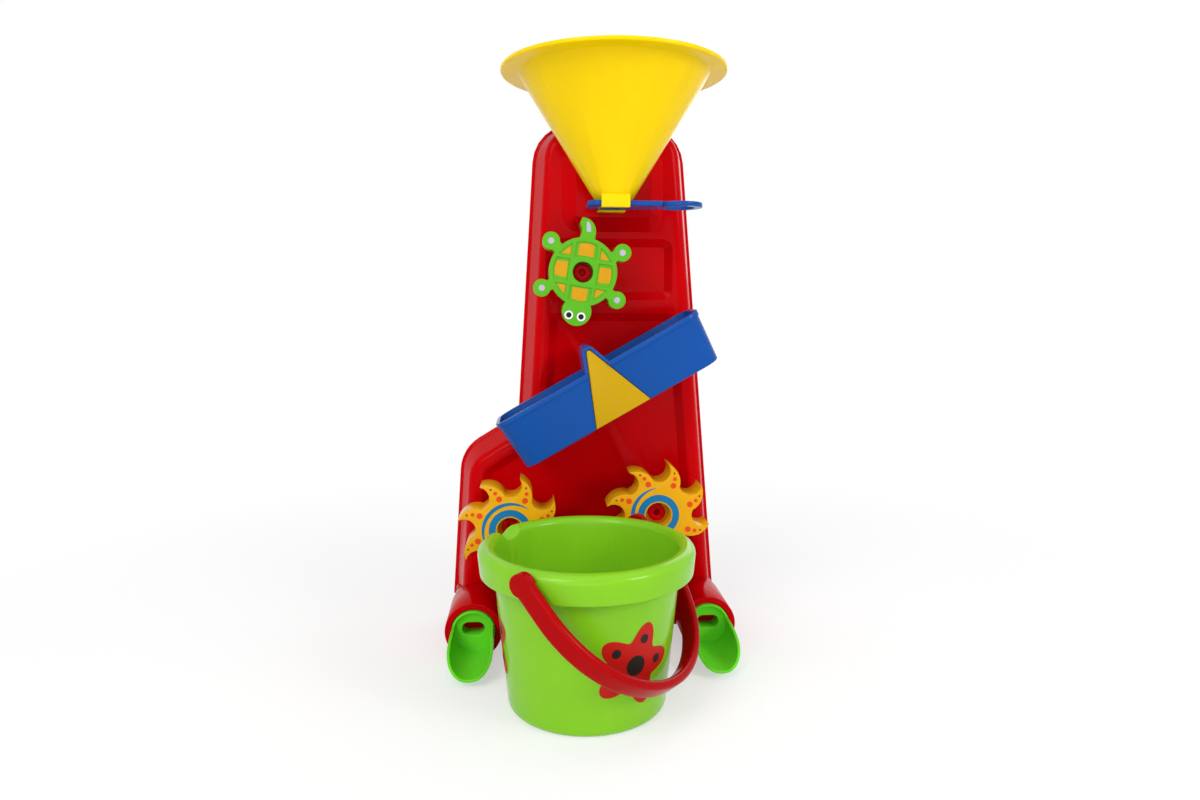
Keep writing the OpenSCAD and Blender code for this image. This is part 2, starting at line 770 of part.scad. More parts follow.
module funnel() {
    under_z = funnel_top - rim_t;
    guide_low_z = gate_low_z - gate_gap - guide_lip_t;
    guide_top_z = spout_z + guide_rise;
    half_w = gate_w / 2 + gate_gap;
    rim = rounded([[cone_r - funnel_wall, under_z], [rim_r, under_z], [rim_r, funnel_top],
        [cone_r - funnel_wall, funnel_top]], [0, rim_edge_r, rim_edge_r, 0], corner_steps);
    color(funnel_yellow)
        difference() {
            union() {
                translate([funnel_x, funnel_y, 0])
                    rotate_extrude() {
                        polygon(rim);
                        polygon([[0, spout_z], [spout_r, spout_z], [cone_r, under_z], [cone_r, funnel_top],
                            [0, funnel_top]]);
                    }
                // Front guide, and the rear one that reaches back to the block
                block([funnel_x - guide_w / 2, funnel_y - half_w - guide_wall, guide_low_z],
                    [funnel_x + guide_w / 2, funnel_y - half_w + guide_lip, guide_top_z]);
                block([funnel_x - guide_w / 2, funnel_y + half_w - guide_lip, guide_low_z],
                    [funnel_x + guide_w / 2, face_y - block_t, guide_top_z + guide_rise / 2]);
                tongue(0);
            }
            // Inside of the cone, down to the open spout
            translate([funnel_x, funnel_y, spout_z - over])
                cylinder(h = funnel_top - spout_z + 2 * over,
                    r1 = cone_at(spout_z - over) - funnel_wall,
                    r2 = cone_at(funnel_top + over) - funnel_wall);
            block([funnel_x - rim_r, funnel_y - half_w, gate_low_z - gate_gap],
                [funnel_x + rim_r, funnel_y + half_w, spout_z]);
        }
}

module gate_slider() {
    left = funnel_x - gate_tail;
    guide_left = funnel_x - guide_w / 2;
    barb_end = guide_left - gate_gap;
    half_w = gate_w / 2;
    neck = half_w - barb_out;
    right = ring_x - mean(ring_d, finger_d) / 2;
    color(trough_blue)
        difference() {
            translate([0, funnel_y, gate_low_z])
                linear_extrude(gate_t)
                    union() {
                        // The plate, with a barb at each side of its bevelled end
                        polygon([[left, neck - barb_out], [left, barb_out - neck],
                            [mean(left, barb_end), -half_w - barb_out], [barb_end, -half_w - barb_out],
                            [barb_end, -half_w], [right, -half_w], [right, half_w],
                            [barb_end, half_w], [barb_end, half_w + barb_out],
                            [mean(left, barb_end), half_w + barb_out]]);
                        translate([ring_x, 0])
                            circle(d = ring_d);
                    }
            translate([ring_x, funnel_y, gate_low_z - over])
                cylinder(h = gate_t + 2 * over, d = finger_d);
            translate([funnel_x, funnel_y, gate_low_z - over])
                cylinder(h = gate_t + 2 * over, d = gate_hole_d);
        }
}

// Pin from its head in a hub to the snap barb behind its boss
module axle_pin(axle, head_y) {
    snap_y = boss_tail_y;
    color(tower_red)
        difference() {
            union() {
                bar(axle, head_y - head_t, head_y, head_d / 2);
                bar(axle, head_y, snap_y + snap_l, pin_d / 2);
                translate([axle[0], snap_y, axle[1]])
                    rotate([-90, 0, 0])
                        cylinder(h = snap_l, d1 = snap_d, d2 = pin_d);
            }
            bar(axle, head_y - head_t - over, head_y + head_t, pin_hollow_d / 2);
        }
}

// Seat of a pin's head in a wheel's counterbore
wheel_head_y = wheel_front_y + hub_depth - wheel_play;
trough_head_y = trough_front_y + hub_depth - wheel_play;
cover_back_y = trough_front_y + wheel_play + cover_t;

module turtle_axle_pin() {
    axle_pin(turtle_axle, wheel_head_y);
}

module trough_axle_pin() {
    axle_pin(trough_axle, trough_head_y);
}

module left_sun_axle_pin() {
    axle_pin(left_sun_axle, wheel_head_y);
}

module right_sun_axle_pin() {
    axle_pin(right_sun_axle, wheel_head_y);
}

// Open-backed wheel: a front plate, a rim wall and a hub, from an outer and an inner outline
module wheel(axle, turn, hub_d) {
    hub_r = hub_d / 2 + wheel_wall;
    translate([axle[0], 0, axle[1]])
        difference() {
            union() {
                difference() {
                    plate(wheel_front_y, wheel_back_y)
                        rotate(turn)
                            children(0);
                    plate(wheel_front_y + plate_t, wheel_back_y + over)
                        rotate(turn)
                            children(1);
                }
                bar([0, 0], wheel_front_y + plate_t / 2, wheel_back_y, hub_r);
            }
            bar([0, 0], wheel_front_y - over, wheel_front_y + hub_depth, hub_d / 2);
            bar([0, 0], wheel_front_y, wheel_back_y + over, pin_d / 2 + pin_fit);
        }
}

paw_angles = [35, 145, 210, 330];
// Tail outline: places across its width and along its length
tail_shares = [[0.42, -0.3], [0.42, 1], [-0.58, 1], [-0.66, 0.7], [-0.44, 0.34], [-0.6, -0.3]];
tail_radius_shares = [0, 0.85, 0.05, 0.05, 0.5, 0];

module turtle_outline(skin) {
    circle(turtle_r - skin);
    for (a = paw_angles)
        rotate(a) {
            translate([paw_reach, 0])
                circle(paw_r - skin);
            translate([0, skin - paw_neck_w / 2])
                square([paw_reach, paw_neck_w - 2 * skin]);
        }
    translate([0, -head_reach])
        circle(head_r - skin);
}

module turtle_tail() {
    points = [for (s = tail_shares) [s[0] * tail_w, turtle_r + s[1] * tail_l]];
    polygon(rounded(points, [for (s = tail_radius_shares) s * tail_w], corner_steps));
}

// Fields between the grid lines of the shell
module turtle_fields() {
    difference() {
        circle(turtle_r - grid_border);
        for (side = [-1, 1]) {
            translate([side * grid_out - grid_w / 2, -turtle_r])
                square([grid_w, 2 * turtle_r]);
            translate([-turtle_r, side * grid_out - grid_w / 2])
                square([2 * turtle_r, grid_w]);
        }
        square(2 * grid_out, center = true);
    }
}

module turtle_wheel() {
    color(turtle_green)
        difference() {
            wheel(turtle_axle, turtle_turn, turtle_hub_d) {
                union() {
                    turtle_outline(0);
                    turtle_tail();
                }
                turtle_outline(wheel_wall);
            }
            translate([turtle_axle[0], 0, turtle_axle[1]])
                plate(wheel_front_y - over, wheel_front_y + grid_depth)
                    rotate(turtle_turn)
                        turtle_fields();
        }
}

// Lead of a ray's round back and of its notch over its tip, in degrees
ray_lead = 11.4;
notch_lead = 14.6;
ray_pitch = 360 / ray_count;

// Outline of hooked rays: a notch under each hook, then the round back of the next ray
function sun_outline(skin) =
    [for (k = [0:ray_count - 1])
        let (
            tip = k * ray_pitch,
            back = polar(ray_reach, tip + ray_lead),
            next = polar(ray_reach, tip + ray_pitch + ray_lead),
            notch = polar(notch_reach, tip + notch_lead),
            next_notch = polar(notch_reach, tip + ray_pitch + notch_lead),
            from = crossing(back, ray_r - skin, notch, notch_r + skin, true),
            valley = crossing(next, ray_r - skin, notch, notch_r + skin, false),
            to = crossing(next, ray_r - skin, next_notch, notch_r + skin, true)
        )
        each concat(swept_arc(notch, from, valley, -1, arc_steps),
            swept_arc(next, valley, to, 1, arc_steps))];

module sun_wheel(axle, turn) {
    color(sun_yellow)
        wheel(axle, turn, sun_hub_d) {
            polygon(sun_outline(0));
            polygon(sun_outline(wheel_wall));
        }
}

module left_sun_wheel() {
    sun_wheel(left_sun_axle, left_sun_turn);
}

module right_sun_wheel() {
    sun_wheel(right_sun_axle, right_sun_turn);
}

// Places a trough piece, drawn level about its axle, at its resting tilt
module on_trough_axle() {
    translate([trough_axle[0], 0, trough_axle[1]])
        rotate([0, -trough_tilt, 0])
            children();
}

// Plan of the trough, moved inwards by skin
module trough_plan(skin) {
    half_l = trough_l / 2;
    corners = [[-half_l, trough_front_y], [half_l, trough_front_y], [half_l, trough_back_y],
        [-half_l, trough_back_y]];
    insets = [for (c = corners) skin];
    polygon([for (p = ring(corners, [for (c = corners) trough_r], insets, 0)) [p[0], p[2]]]);
}

// Solid with the trough's plan and drafted ends between two heights, moved inwards by skin
module trough_body(skin, low, high) {
    for (side = [0, 1])
        mirror([side, 0, 0])
            intersection() {
                translate([trough_l / 2, 0, trough_h - axle_h])
                    rotate([0, trough_draft, 0])
                        translate([-trough_l / 2, 0, -trough_l / 2])
                            linear_extrude(trough_l)
                                trough_plan(skin);
                block([0, trough_front_y - trough_r, low], [trough_l, trough_back_y + trough_r, high]);
            }
}

// Ridge's cross-section, moved inwards by skin, with its foot below the trough's underside by drop
module ridge_plan(skin, drop = 0) {
    corners = [[-ridge_w / 2, -axle_h], [ridge_w / 2, -axle_h], [0, ridge_h - axle_h + ridge_r]];
    insets = [-drop, skin, skin];
    moved = [for (i = [0:2]) moved_corner(corners, i, insets)];
    polygon(rounded(moved, [0, 0, max(ridge_r - skin, least_r)], corner_steps));
}

module tipping_trough() {
    floor_z = trough_wall - axle_h;
    rim_z = trough_h - axle_h;
    color(trough_blue)
        on_trough_axle()
            union() {
                difference() {
                    union() {
                        trough_body(0, -axle_h, rim_z);
                        trough_body(-band_out, rim_z - band_h, rim_z);
                        plate(trough_front_y, trough_back_y)
                            ridge_plan(0);
                    }
                    // The two open halves, on either side of the ridge
                    difference() {
                        trough_body(trough_wall, floor_z, rim_z + over);
                        plate(trough_front_y, trough_back_y)
                            ridge_plan(0);
                    }
                    // The hollow under the ridge, open at the front for the cover
                    plate(trough_front_y - over - band_out, cover_back_y)
                        ridge_plan(trough_wall, over);
                    plate(trough_front_y, trough_back_y - trough_wall)
                        ridge_plan(trough_wall + cover_ledge, over);
                    stop_slot();
                    bar([0, 0], trough_front_y, trough_back_y + over, pin_d / 2 + pin_fit);
                }
                difference() {
                    bar([0, 0], trough_front_y + hub_depth, trough_back_y - trough_wall / 2,
                        boss_d / 2 - pin_fit);
                    bar([0, 0], trough_front_y, trough_back_y + over, pin_d / 2 + pin_fit);
                }
            }
}

// Arc in the trough's back wall that the stop peg runs in
module stop_slot() {
    slot_half = stop_d / 2 + stop_gap;
    depth = trough_wall + 2 * over;
    translate([0, trough_back_y + over, 0])
        rotate([90, 0, 0]) {
            rotate(90 - trough_tilt)
                rotate_extrude(angle = 2 * trough_tilt)
                    translate([stop_out - slot_half, 0])
                        square([2 * slot_half, depth]);
            for (side = [-1, 1])
                rotate(90 + side * trough_tilt)
                    translate([stop_out, 0])
                        cylinder(h = depth, r = slot_half);
        }
}

module trough_cover() {
    color(cover_yellow)
        on_trough_axle()
            plate(cover_back_y - cover_t, cover_back_y)
                ridge_plan(trough_wall + cover_gap);
}

// Roundings of the bucket's rim, as shares of its width
outer_rim_share = 0.5;
inner_rim_share = 0.4;

// Half of the bucket's section, from the axis out and back
module bucket_section() {
    roof_z = bucket_h - 2 * bucket_wall;
    skirt_z = bucket_h - collar_h;
    skirt_r = collar_r - bucket_wall;
    neck_slope = (bucket_neck_r - bucket_base_r) / bucket_h;
    rim_w = collar_r - bucket_neck_r + bucket_wall;
    points = [[0, 0], [bucket_base_r, 0], [bucket_base_r + neck_slope * roof_z, roof_z], [skirt_r, roof_z],
        [skirt_r - neck_slope * collar_h, skirt_z], [collar_r - neck_slope * collar_h, skirt_z],
        [collar_r, bucket_h], [bucket_neck_r - bucket_wall, bucket_h],
        [bucket_base_r - bucket_wall, bucket_wall], [0, bucket_wall]];
    radii = [0, bucket_foot_r, bucket_wall, bucket_wall, bucket_wall / 3, bucket_wall / 3,
        outer_rim_share * rim_w, inner_rim_share * rim_w, bucket_foot_r, 0];
    polygon(rounded(points, radii, corner_steps));
}

// Bar across the rim at the pouring notch
module pour_bar(r) {
    translate([0, bucket_base_r, bucket_h - pour_depth + pour_r])
        rotate([-90, 0, 0])
            cylinder(h = collar_r, r = r);
}

// Wall that closes the hollow collar under the pouring notch
module pour_lip() {
    low_z = bucket_h - collar_h + bucket_wall;
    intersection() {
        difference() {
            translate([0, 0, low_z])
                cylinder(h = bucket_h - bucket_wall - low_z, r = collar_r - bucket_wall);
            translate([0, 0, low_z - over])
                cylinder(h = collar_h + over, r = bucket_neck_r - bucket_wall / 2);
        }
        pour_bar(pour_r + bucket_wall);
    }
}

module bucket() {
    color(bucket_green)
        translate([-bucket_x, bucket_y, 0])
            rotate(bail_turn)
                difference() {
                    union() {
                        rotate_extrude($fn = 96)
                            bucket_section();
                        pour_lip();
                    }
                    // Pivot holes in the skirt
                    for (side = [-1, 1])
                        translate([side * mean(bucket_neck_r, collar_r), 0, bail_z])
                            rotate([0, side * 90, 0])
                                cylinder(h = collar_r, d = bail_pin_d + 2 * pin_fit);
                    // Pouring notch across the collar
                    pour_bar(pour_r);
                }
}

// Strap's section, with round edges, at radius r
module strap_section(r) {
    flat = bail_w - bail_t;
    translate([r, -flat / 2])
        square([bail_t, flat]);
    for (side = [-1, 1])
        translate([r + bail_t / 2, side * flat / 2])
            circle(d = bail_t);
}

module bail_handle() {
    inner_r = collar_r + bail_gap;
    color(tower_red)
        translate([-bucket_x, bucket_y, bail_z])
            rotate([bail_droop - 90, 0, bail_turn])
                union() {
                    translate([0, 0, -bail_leg])
                        rotate([90, 0, 0])
                            rotate_extrude(angle = 180, start = 180, $fn = 96)
                                strap_section(inner_r);
                    for (side = [-1, 1]) {
                        translate([0, 0, -bail_leg])
                            linear_extrude(bail_leg)
                                rotate(90 - side * 90)
                                    strap_section(inner_r);
                        translate([side * inner_r, 0, 0])
                            rotate([0, side * 90, 0])
                                cylinder(h = bail_t, d = bail_w);
                        translate([side * (inner_r + bail_t / 2), 0, 0])
                            rotate([0, -side * 90, 0])
                                cylinder(h = bail_t / 2 + bail_pin_l, d = bail_pin_d);
                    }
                }
}

tower_shell();
left_foot_tube();
right_foot_tube();
left_scoop();
right_scoop();
funnel();
gate_slider();
turtle_wheel();
turtle_axle_pin();
tipping_trough();
trough_cover();
trough_axle_pin();
left_sun_wheel();
left_sun_axle_pin();
right_sun_wheel();
right_sun_axle_pin();
bucket();
bail_handle();
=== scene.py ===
"""Dresses the sand wheel toy: moulded plastic, painted wheels, a printed bucket and a white studio."""

from __future__ import annotations

import logging
import math
from dataclasses import dataclass, field
from enum import Enum
from typing import Callable, Iterable, Sequence

import bmesh
import bpy
from mathutils import Matrix, Vector

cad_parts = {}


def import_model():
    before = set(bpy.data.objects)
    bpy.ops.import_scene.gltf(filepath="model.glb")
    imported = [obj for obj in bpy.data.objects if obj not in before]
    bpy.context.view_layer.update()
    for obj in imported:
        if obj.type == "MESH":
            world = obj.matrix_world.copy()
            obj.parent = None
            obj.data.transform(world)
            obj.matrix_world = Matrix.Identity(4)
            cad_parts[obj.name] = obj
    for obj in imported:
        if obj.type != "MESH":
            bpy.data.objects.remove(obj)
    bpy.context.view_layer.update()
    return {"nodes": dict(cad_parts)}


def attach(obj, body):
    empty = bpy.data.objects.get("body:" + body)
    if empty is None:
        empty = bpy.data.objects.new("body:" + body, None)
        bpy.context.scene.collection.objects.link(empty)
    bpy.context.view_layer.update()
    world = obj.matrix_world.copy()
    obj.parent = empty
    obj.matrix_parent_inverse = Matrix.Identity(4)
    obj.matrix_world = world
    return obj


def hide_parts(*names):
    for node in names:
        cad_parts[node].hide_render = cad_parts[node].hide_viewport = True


MM = 0.001
LOG = logging.getLogger("sand_wheel_toy")

# In a copy of a CAD solid, points this near are one point, in metres, and faces this flat are one face
CAD_MERGE = 2e-6
CAD_FLAT_DEG = 0.6
# A point this near to a cut lies on it, in metres
CUT_REACH = 1e-7
# Points of a paint film this near are one point, in metres
FILM_MERGE = 1e-6
# Edges sharper than the first are rounded, and those sharper than the second are shaded as edges
SHARP_DEG = 32.0
CREASE_DEG = 38.0
# Thickness of a coat of paint
PAINT_MM = 0.12
# How far the axis of each foot stands from the middle
FOOT_X_MM = 86.5
# A Mix node's sockets share their names, so its colours are picked by number
MIX_A, MIX_B, MIX_RESULT = 6, 7, 2
WHITE = (1.0, 1.0, 1.0, 1.0)

Point = tuple[float, float]
Triple = tuple[float, float, float]
Colour = tuple[float, float, float, float]
Nodes = dict[str, bpy.types.Object]


class Side(Enum):
    """The tower's two sides, as the viewer sees them."""

    LEFT = "left"
    RIGHT = "right"


class Hue(Enum):
    """Colours of the toy's plastics, paints and inks, as sRGB hex values. The bail's red is the tower's
    red painted darker, as shade.
    """

    TOWER_RED = "#BE0006"
    # The bail is of the tower's red plastic; this darker red is painted shade for a smooth handle that
    # looks darker under the lamps
    BAIL_RED_PAINTED_SHADE = "#A00004"
    FUNNEL_YELLOW = "#EAC606"
    TROUGH_BLUE = "#164B98"
    COVER_YELLOW = "#BC9410"
    TURTLE_GREEN = "#56A61F"
    BUCKET_LIME = "#7DBD1C"
    SCOOP_GREEN = "#64D029"
    SUN_YELLOW = "#DA9E12"
    FIELD_YELLOW = "#C48E08"
    SWIRL_BLUE = "#106C9E"
    DOT_ORANGE = "#DA4410"
    DOT_BROWN = "#7C2A0C"
    PAINT_WHITE = "#E4E2EA"
    PAW_GREY = "#A9A9B8"
    PAINT_BLACK = "#141312"
    PRINT_RED = "#B4160F"
    PRINT_BLACK = "#231E1A"


def linear(hex_colour: str) -> Colour:
    """Turns an sRGB hex value into linear colour.

    Args:
        hex_colour: A value such as "#C4000E".

    Returns:
        Red, green, blue and alpha, for a colour socket.
    """
    channels = []
    for start in (1, 3, 5):
        value = int(hex_colour[start : start + 2], 16) / 255.0
        channels.append(value / 12.92 if value <= 0.04045 else ((value + 0.055) / 1.055) ** 2.4)
    return channels[0], channels[1], channels[2], 1.0


def shaded(colour: Colour, factor: float) -> Colour:
    """Returns a linear colour made lighter or darker by a factor."""
    return tuple(min(1.0, channel * factor) for channel in colour[:3]) + (1.0,)


def add_node(tree: bpy.types.NodeTree, kind: str, settings: dict | None = None,
             links: dict | None = None) -> bpy.types.Node:
    """Adds one shader node.

    Args:
        tree: The node tree to add to.
        kind: The node's type, such as "ShaderNodeTexNoise".
        settings: Values for the node's own properties and, by socket name or number, for its inputs.
        links: Output sockets to join, by the name or number of the input they go to.

    Returns:
        The new node.
    """
    node = tree.nodes.new(kind)
    for name, value in (settings or {}).items():
        if isinstance(name, str) and hasattr(node, name):
            setattr(node, name, value)
        else:
            node.inputs[name].default_value = value
    for name, socket in (links or {}).items():
        tree.links.new(socket, node.inputs[name])
    return node


def empty_tree(owner: bpy.types.Material | bpy.types.World) -> bpy.types.NodeTree:
    """Turns on a material's or a world's nodes and clears them.

    Args:
        owner: The material or world.

    Returns:
        Its node tree.
    """
    owner.use_nodes = True
    owner.node_tree.nodes.clear()
    return owner.node_tree


@dataclass(frozen=True)
class Finish:
    """A surface finish that is made once as a node material and then shared."""

    name: str
    hue: Hue

    def material(self) -> bpy.types.Material:
        """Makes the finish as a node material, or finds it where it is made already.

        Returns:
            The material.
        """
        found = bpy.data.materials.get(self.name)
        if found:
            return found
        material = bpy.data.materials.new(self.name)
        tree = empty_tree(material)
        place = add_node(tree, "ShaderNodeTexCoord").outputs["Object"]
        shader = self.shader(tree, place)
        add_node(tree, "ShaderNodeOutputMaterial", links={"Surface": shader.outputs[0]})
        return material

    def shader(self, tree: bpy.types.NodeTree, place: bpy.types.NodeSocket) -> bpy.types.Node:
        """Adds the finish's own nodes and returns the shader."""
        raise NotImplementedError

    def grain(self, tree: bpy.types.NodeTree, place: bpy.types.NodeSocket, size_mm: float,
              detail: float) -> bpy.types.NodeSocket:
        """Returns an uneven pattern whose patches are about size_mm across."""
        return add_node(tree, "ShaderNodeTexNoise", {"Scale": 1.0 / (size_mm * MM), "Detail": detail},
                        {"Vector": place}).outputs["Fac"]

    def tint(self, tree: bpy.types.NodeTree, pattern: bpy.types.NodeSocket,
             spread: float) -> bpy.types.NodeSocket:
        """Makes the hue a little darker and lighter by a pattern.

        Args:
            tree: The material's nodes.
            pattern: A pattern from 0 to 1.
            spread: How much darker and lighter, as a share.

        Returns:
            The colour socket.
        """
        colour = linear(self.hue.value)
        mix = add_node(tree, "ShaderNodeMix",
                       {"data_type": "RGBA", MIX_A: shaded(colour, 1.0 - spread),
                        MIX_B: shaded(colour, 1.0 + spread)}, {"Factor": pattern})
        return mix.outputs[MIX_RESULT]


@dataclass(frozen=True)
class MouldedPlastic(Finish):
    """Polypropylene from a polished mould.

    The eye gets an even colour and a soft gloss. The gloss wavers over sink ripples a few centimetres
    long, and a skin of a few millimetres, drawn coarser than it is so that it shows, breaks its edge. A
    little light goes into the wall.
    """

    roughness: float = 0.18
    gloss_spread: float = 0.02
    colour_spread: float = 0.04
    ripple_mm: float = 34.0
    skin_mm: float = 3.0
    skin_range: Point = (0.3, 0.7)
    detail: float = 2.0
    ripple_weight: float = 18.0
    bump: float = 0.03
    bump_mm: float = 0.12
    ior: float = 1.49
    milky: float = 0.06
    depth_mm: float = 2.0
    sheen: float = 0.07

    def shader(self, tree: bpy.types.NodeTree, place: bpy.types.NodeSocket) -> bpy.types.Node:
        """Adds colour, gloss and ripple.

        Args:
            tree: The material's nodes.
            place: Where on the piece a point is.

        Returns:
            The shader.
        """
        ripple = self.grain(tree, place, self.ripple_mm, self.detail)
        skin = self.grain(tree, place, self.skin_mm, self.detail)
        gloss = add_node(tree, "ShaderNodeMapRange",
                         {"From Min": self.skin_range[0], "From Max": self.skin_range[1],
                          "To Min": self.roughness - self.gloss_spread,
                          "To Max": self.roughness + self.gloss_spread}, {"Value": skin})
        height = add_node(tree, "ShaderNodeMath", {"operation": "MULTIPLY_ADD", 1: self.ripple_weight},
                          {0: ripple, 2: skin})
        bump = add_node(tree, "ShaderNodeBump", {"Strength": self.bump, "Distance": self.bump_mm * MM},
                        {"Height": height.outputs[0]})
        return add_node(tree, "ShaderNodeBsdfPrincipled",
                        {"IOR": self.ior, "Specular IOR Level": self.sheen,
                         "Subsurface Weight": self.milky, "Subsurface Scale": self.depth_mm * MM},
                        {"Base Color": self.tint(tree, ripple, self.colour_spread),
                         "Roughness": gloss.outputs[0], "Normal": bump.outputs[0]})


@dataclass(frozen=True)
class PrintedInk(Finish):
    """Pad-printed ink: a thin opaque film, a little duller than the plastic and slightly uneven."""

    roughness: float = 0.42
    gloss_spread: float = 0.06
    colour_spread: float = 0.09
    patch_mm: float = 5.0
    detail: float = 4.0
    ior: float = 1.48
    sheen: float = 0.15

    def shader(self, tree: bpy.types.NodeTree, place: bpy.types.NodeSocket) -> bpy.types.Node:
        """Adds uneven colour and gloss.

        Args:
            tree: The material's nodes.
            place: Where on the piece a point is.

        Returns:
            The shader.
        """
        patch = self.grain(tree, place, self.patch_mm, self.detail)
        gloss = add_node(tree, "ShaderNodeMapRange",
                         {"To Min": self.roughness - self.gloss_spread,
                          "To Max": self.roughness + self.gloss_spread}, {"Value": patch})
        return add_node(tree, "ShaderNodeBsdfPrincipled",
                        {"IOR": self.ior, "Specular IOR Level": self.sheen},
                        {"Base Color": self.tint(tree, patch, self.colour_spread),
                         "Roughness": gloss.outputs[0]})


TOWER_PLASTIC = MouldedPlastic("polypropylene_red_moulded", Hue.TOWER_RED, sheen=0.035)
# The bail's finish is the tower's red plastic with painted shade: its red is drawn darker than the
# tower's
BAIL_PLASTIC_PAINTED_SHADE = MouldedPlastic("polypropylene_red_painted_shade_moulded", Hue.BAIL_RED_PAINTED_SHADE)
FUNNEL_PLASTIC = MouldedPlastic("polypropylene_yellow_moulded", Hue.FUNNEL_YELLOW, milky=0.12)
TROUGH_PLASTIC = MouldedPlastic("polypropylene_blue_moulded", Hue.TROUGH_BLUE)
COVER_PLASTIC = MouldedPlastic("polypropylene_amber_moulded", Hue.COVER_YELLOW)
TURTLE_PLASTIC = MouldedPlastic("polypropylene_leaf_green_moulded", Hue.TURTLE_GREEN)
BUCKET_PLASTIC = MouldedPlastic("polypropylene_lime_moulded", Hue.BUCKET_LIME, milky=0.45,
                                depth_mm=4.0, sheen=0.22)
SCOOP_PLASTIC = MouldedPlastic("polypropylene_green_moulded", Hue.SCOOP_GREEN, milky=0.1)
SUN_PLASTIC = MouldedPlastic("polypropylene_sun_yellow_moulded", Hue.SUN_YELLOW, milky=0.1)
FIELD_ENAMEL = PrintedInk("enamel_field_yellow", Hue.FIELD_YELLOW)
PAW_ENAMEL = PrintedInk("enamel_pale_grey", Hue.PAW_GREY)
EYE_ENAMEL = PrintedInk("enamel_white", Hue.PAINT_WHITE)
PUPIL_ENAMEL = PrintedInk("enamel_black", Hue.PAINT_BLACK)
SWIRL_ENAMEL = PrintedInk("enamel_swirl_blue", Hue.SWIRL_BLUE)
SPOT_ENAMEL = PrintedInk("enamel_orange", Hue.DOT_ORANGE)
SMALL_SPOT_ENAMEL = PrintedInk("enamel_brown", Hue.DOT_BROWN)
PETAL_INK = PrintedInk("ink_flower_red", Hue.PRINT_RED)
HEART_INK = PrintedInk("ink_flower_black", Hue.PRINT_BLACK)


def upright(point_mm: Point, y_mm: float = 0.0) -> Vector:
    """Returns a point of an upright plane that faces the viewer, in metres."""
    return Vector((point_mm[0] * MM, y_mm * MM, point_mm[1] * MM))


def around(reach: float, angle_deg: float) -> Point:
    """Returns the point that is so far from a middle, in that direction."""
    return reach * math.cos(math.radians(angle_deg)), reach * math.sin(math.radians(angle_deg))


def ring_edges(bm: bmesh.types.BMesh, verts: list[bmesh.types.BMVert]) -> list[bmesh.types.BMEdge]:
    """Joins points, in order, by edges into a closed ring and returns the edges."""
    return [bm.edges.new(pair) for pair in zip(verts, verts[1:] + verts[:1])]


def cad_copy(node: bpy.types.Object) -> bmesh.types.BMesh:
    """Copies a CAD node's loose triangles as one mesh of large faces.

    Args:
        node: The CAD node.

    Returns:
        The copy.
    """
    bm = bmesh.new()
    bm.from_mesh(node.data)
    bmesh.ops.remove_doubles(bm, verts=bm.verts[:], dist=CAD_MERGE)
    bmesh.ops.dissolve_limit(bm, angle_limit=math.radians(CAD_FLAT_DEG), verts=bm.verts[:],
                             edges=bm.edges[:])
    return bm


def round_edges(bm: bmesh.types.BMesh, edges: Iterable[bmesh.types.BMEdge], radius_mm: float,
                segments: int) -> None:
    """Rounds edges all along.

    Args:
        bm: The mesh.
        edges: The edges to round.
        radius_mm: How far from the edge the round starts.
        segments: Number of faces across it.
    """
    bmesh.ops.bevel(bm, geom=list(edges), offset=radius_mm * MM, offset_type="OFFSET", affect="EDGES",
                    segments=segments, profile=0.5, material=-1, clamp_overlap=True)


def sharp_edges(edges: Iterable[bmesh.types.BMEdge]) -> list[bmesh.types.BMEdge]:
    """Returns those of the edges that a mould would round."""
    limit = math.radians(SHARP_DEG)
    return [e for e in edges if len(e.link_faces) == 2 and e.calc_face_angle(0.0) > limit]


def shade_smooth(bm: bmesh.types.BMesh) -> None:
    """Shades the faces smoothly, but for the edges that stay sharp.

    Args:
        bm: The mesh.
    """
    for face in bm.faces:
        face.smooth = True
    for edge in bm.edges:
        edge.smooth = edge.calc_face_angle(0.0) < math.radians(CREASE_DEG)


def add_object(name: str, data: bpy.types.ID) -> bpy.types.Object:
    """Adds an object to the scene.

    Args:
        name: The object's name.
        data: Its mesh, lamp or camera.

    Returns:
        The new object.
    """
    thing = bpy.data.objects.new(name, data)
    bpy.context.scene.collection.objects.link(thing)
    return thing


def add_mesh(name: str, bm: bmesh.types.BMesh, material: bpy.types.Material) -> bpy.types.Object:
    """Adds a finished bmesh to the scene.

    Args:
        name: The object's name.
        bm: The mesh, in metres and in place. It is freed.
        material: What it is made of.

    Returns:
        The new object.
    """
    mesh = bpy.data.meshes.new(name)
    bm.to_mesh(mesh)
    bm.free()
    mesh.materials.append(material)
    return add_object(name, mesh)


def new_piece(name: str, bm: bmesh.types.BMesh, finish: Finish, body: str) -> bpy.types.Object:
    """Turns a finished bmesh into a piece that rides on a body.

    Args:
        name: The piece's name.
        bm: The mesh, in metres and in place. It is freed.
        finish: What the piece is made or printed with.
        body: The CAD body that it moves with.

    Returns:
        The new object.
    """
    piece = add_mesh(name, bm, finish.material())
    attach(piece, body)
    LOG.info("%s: %d faces", name, len(piece.data.polygons))
    return piece


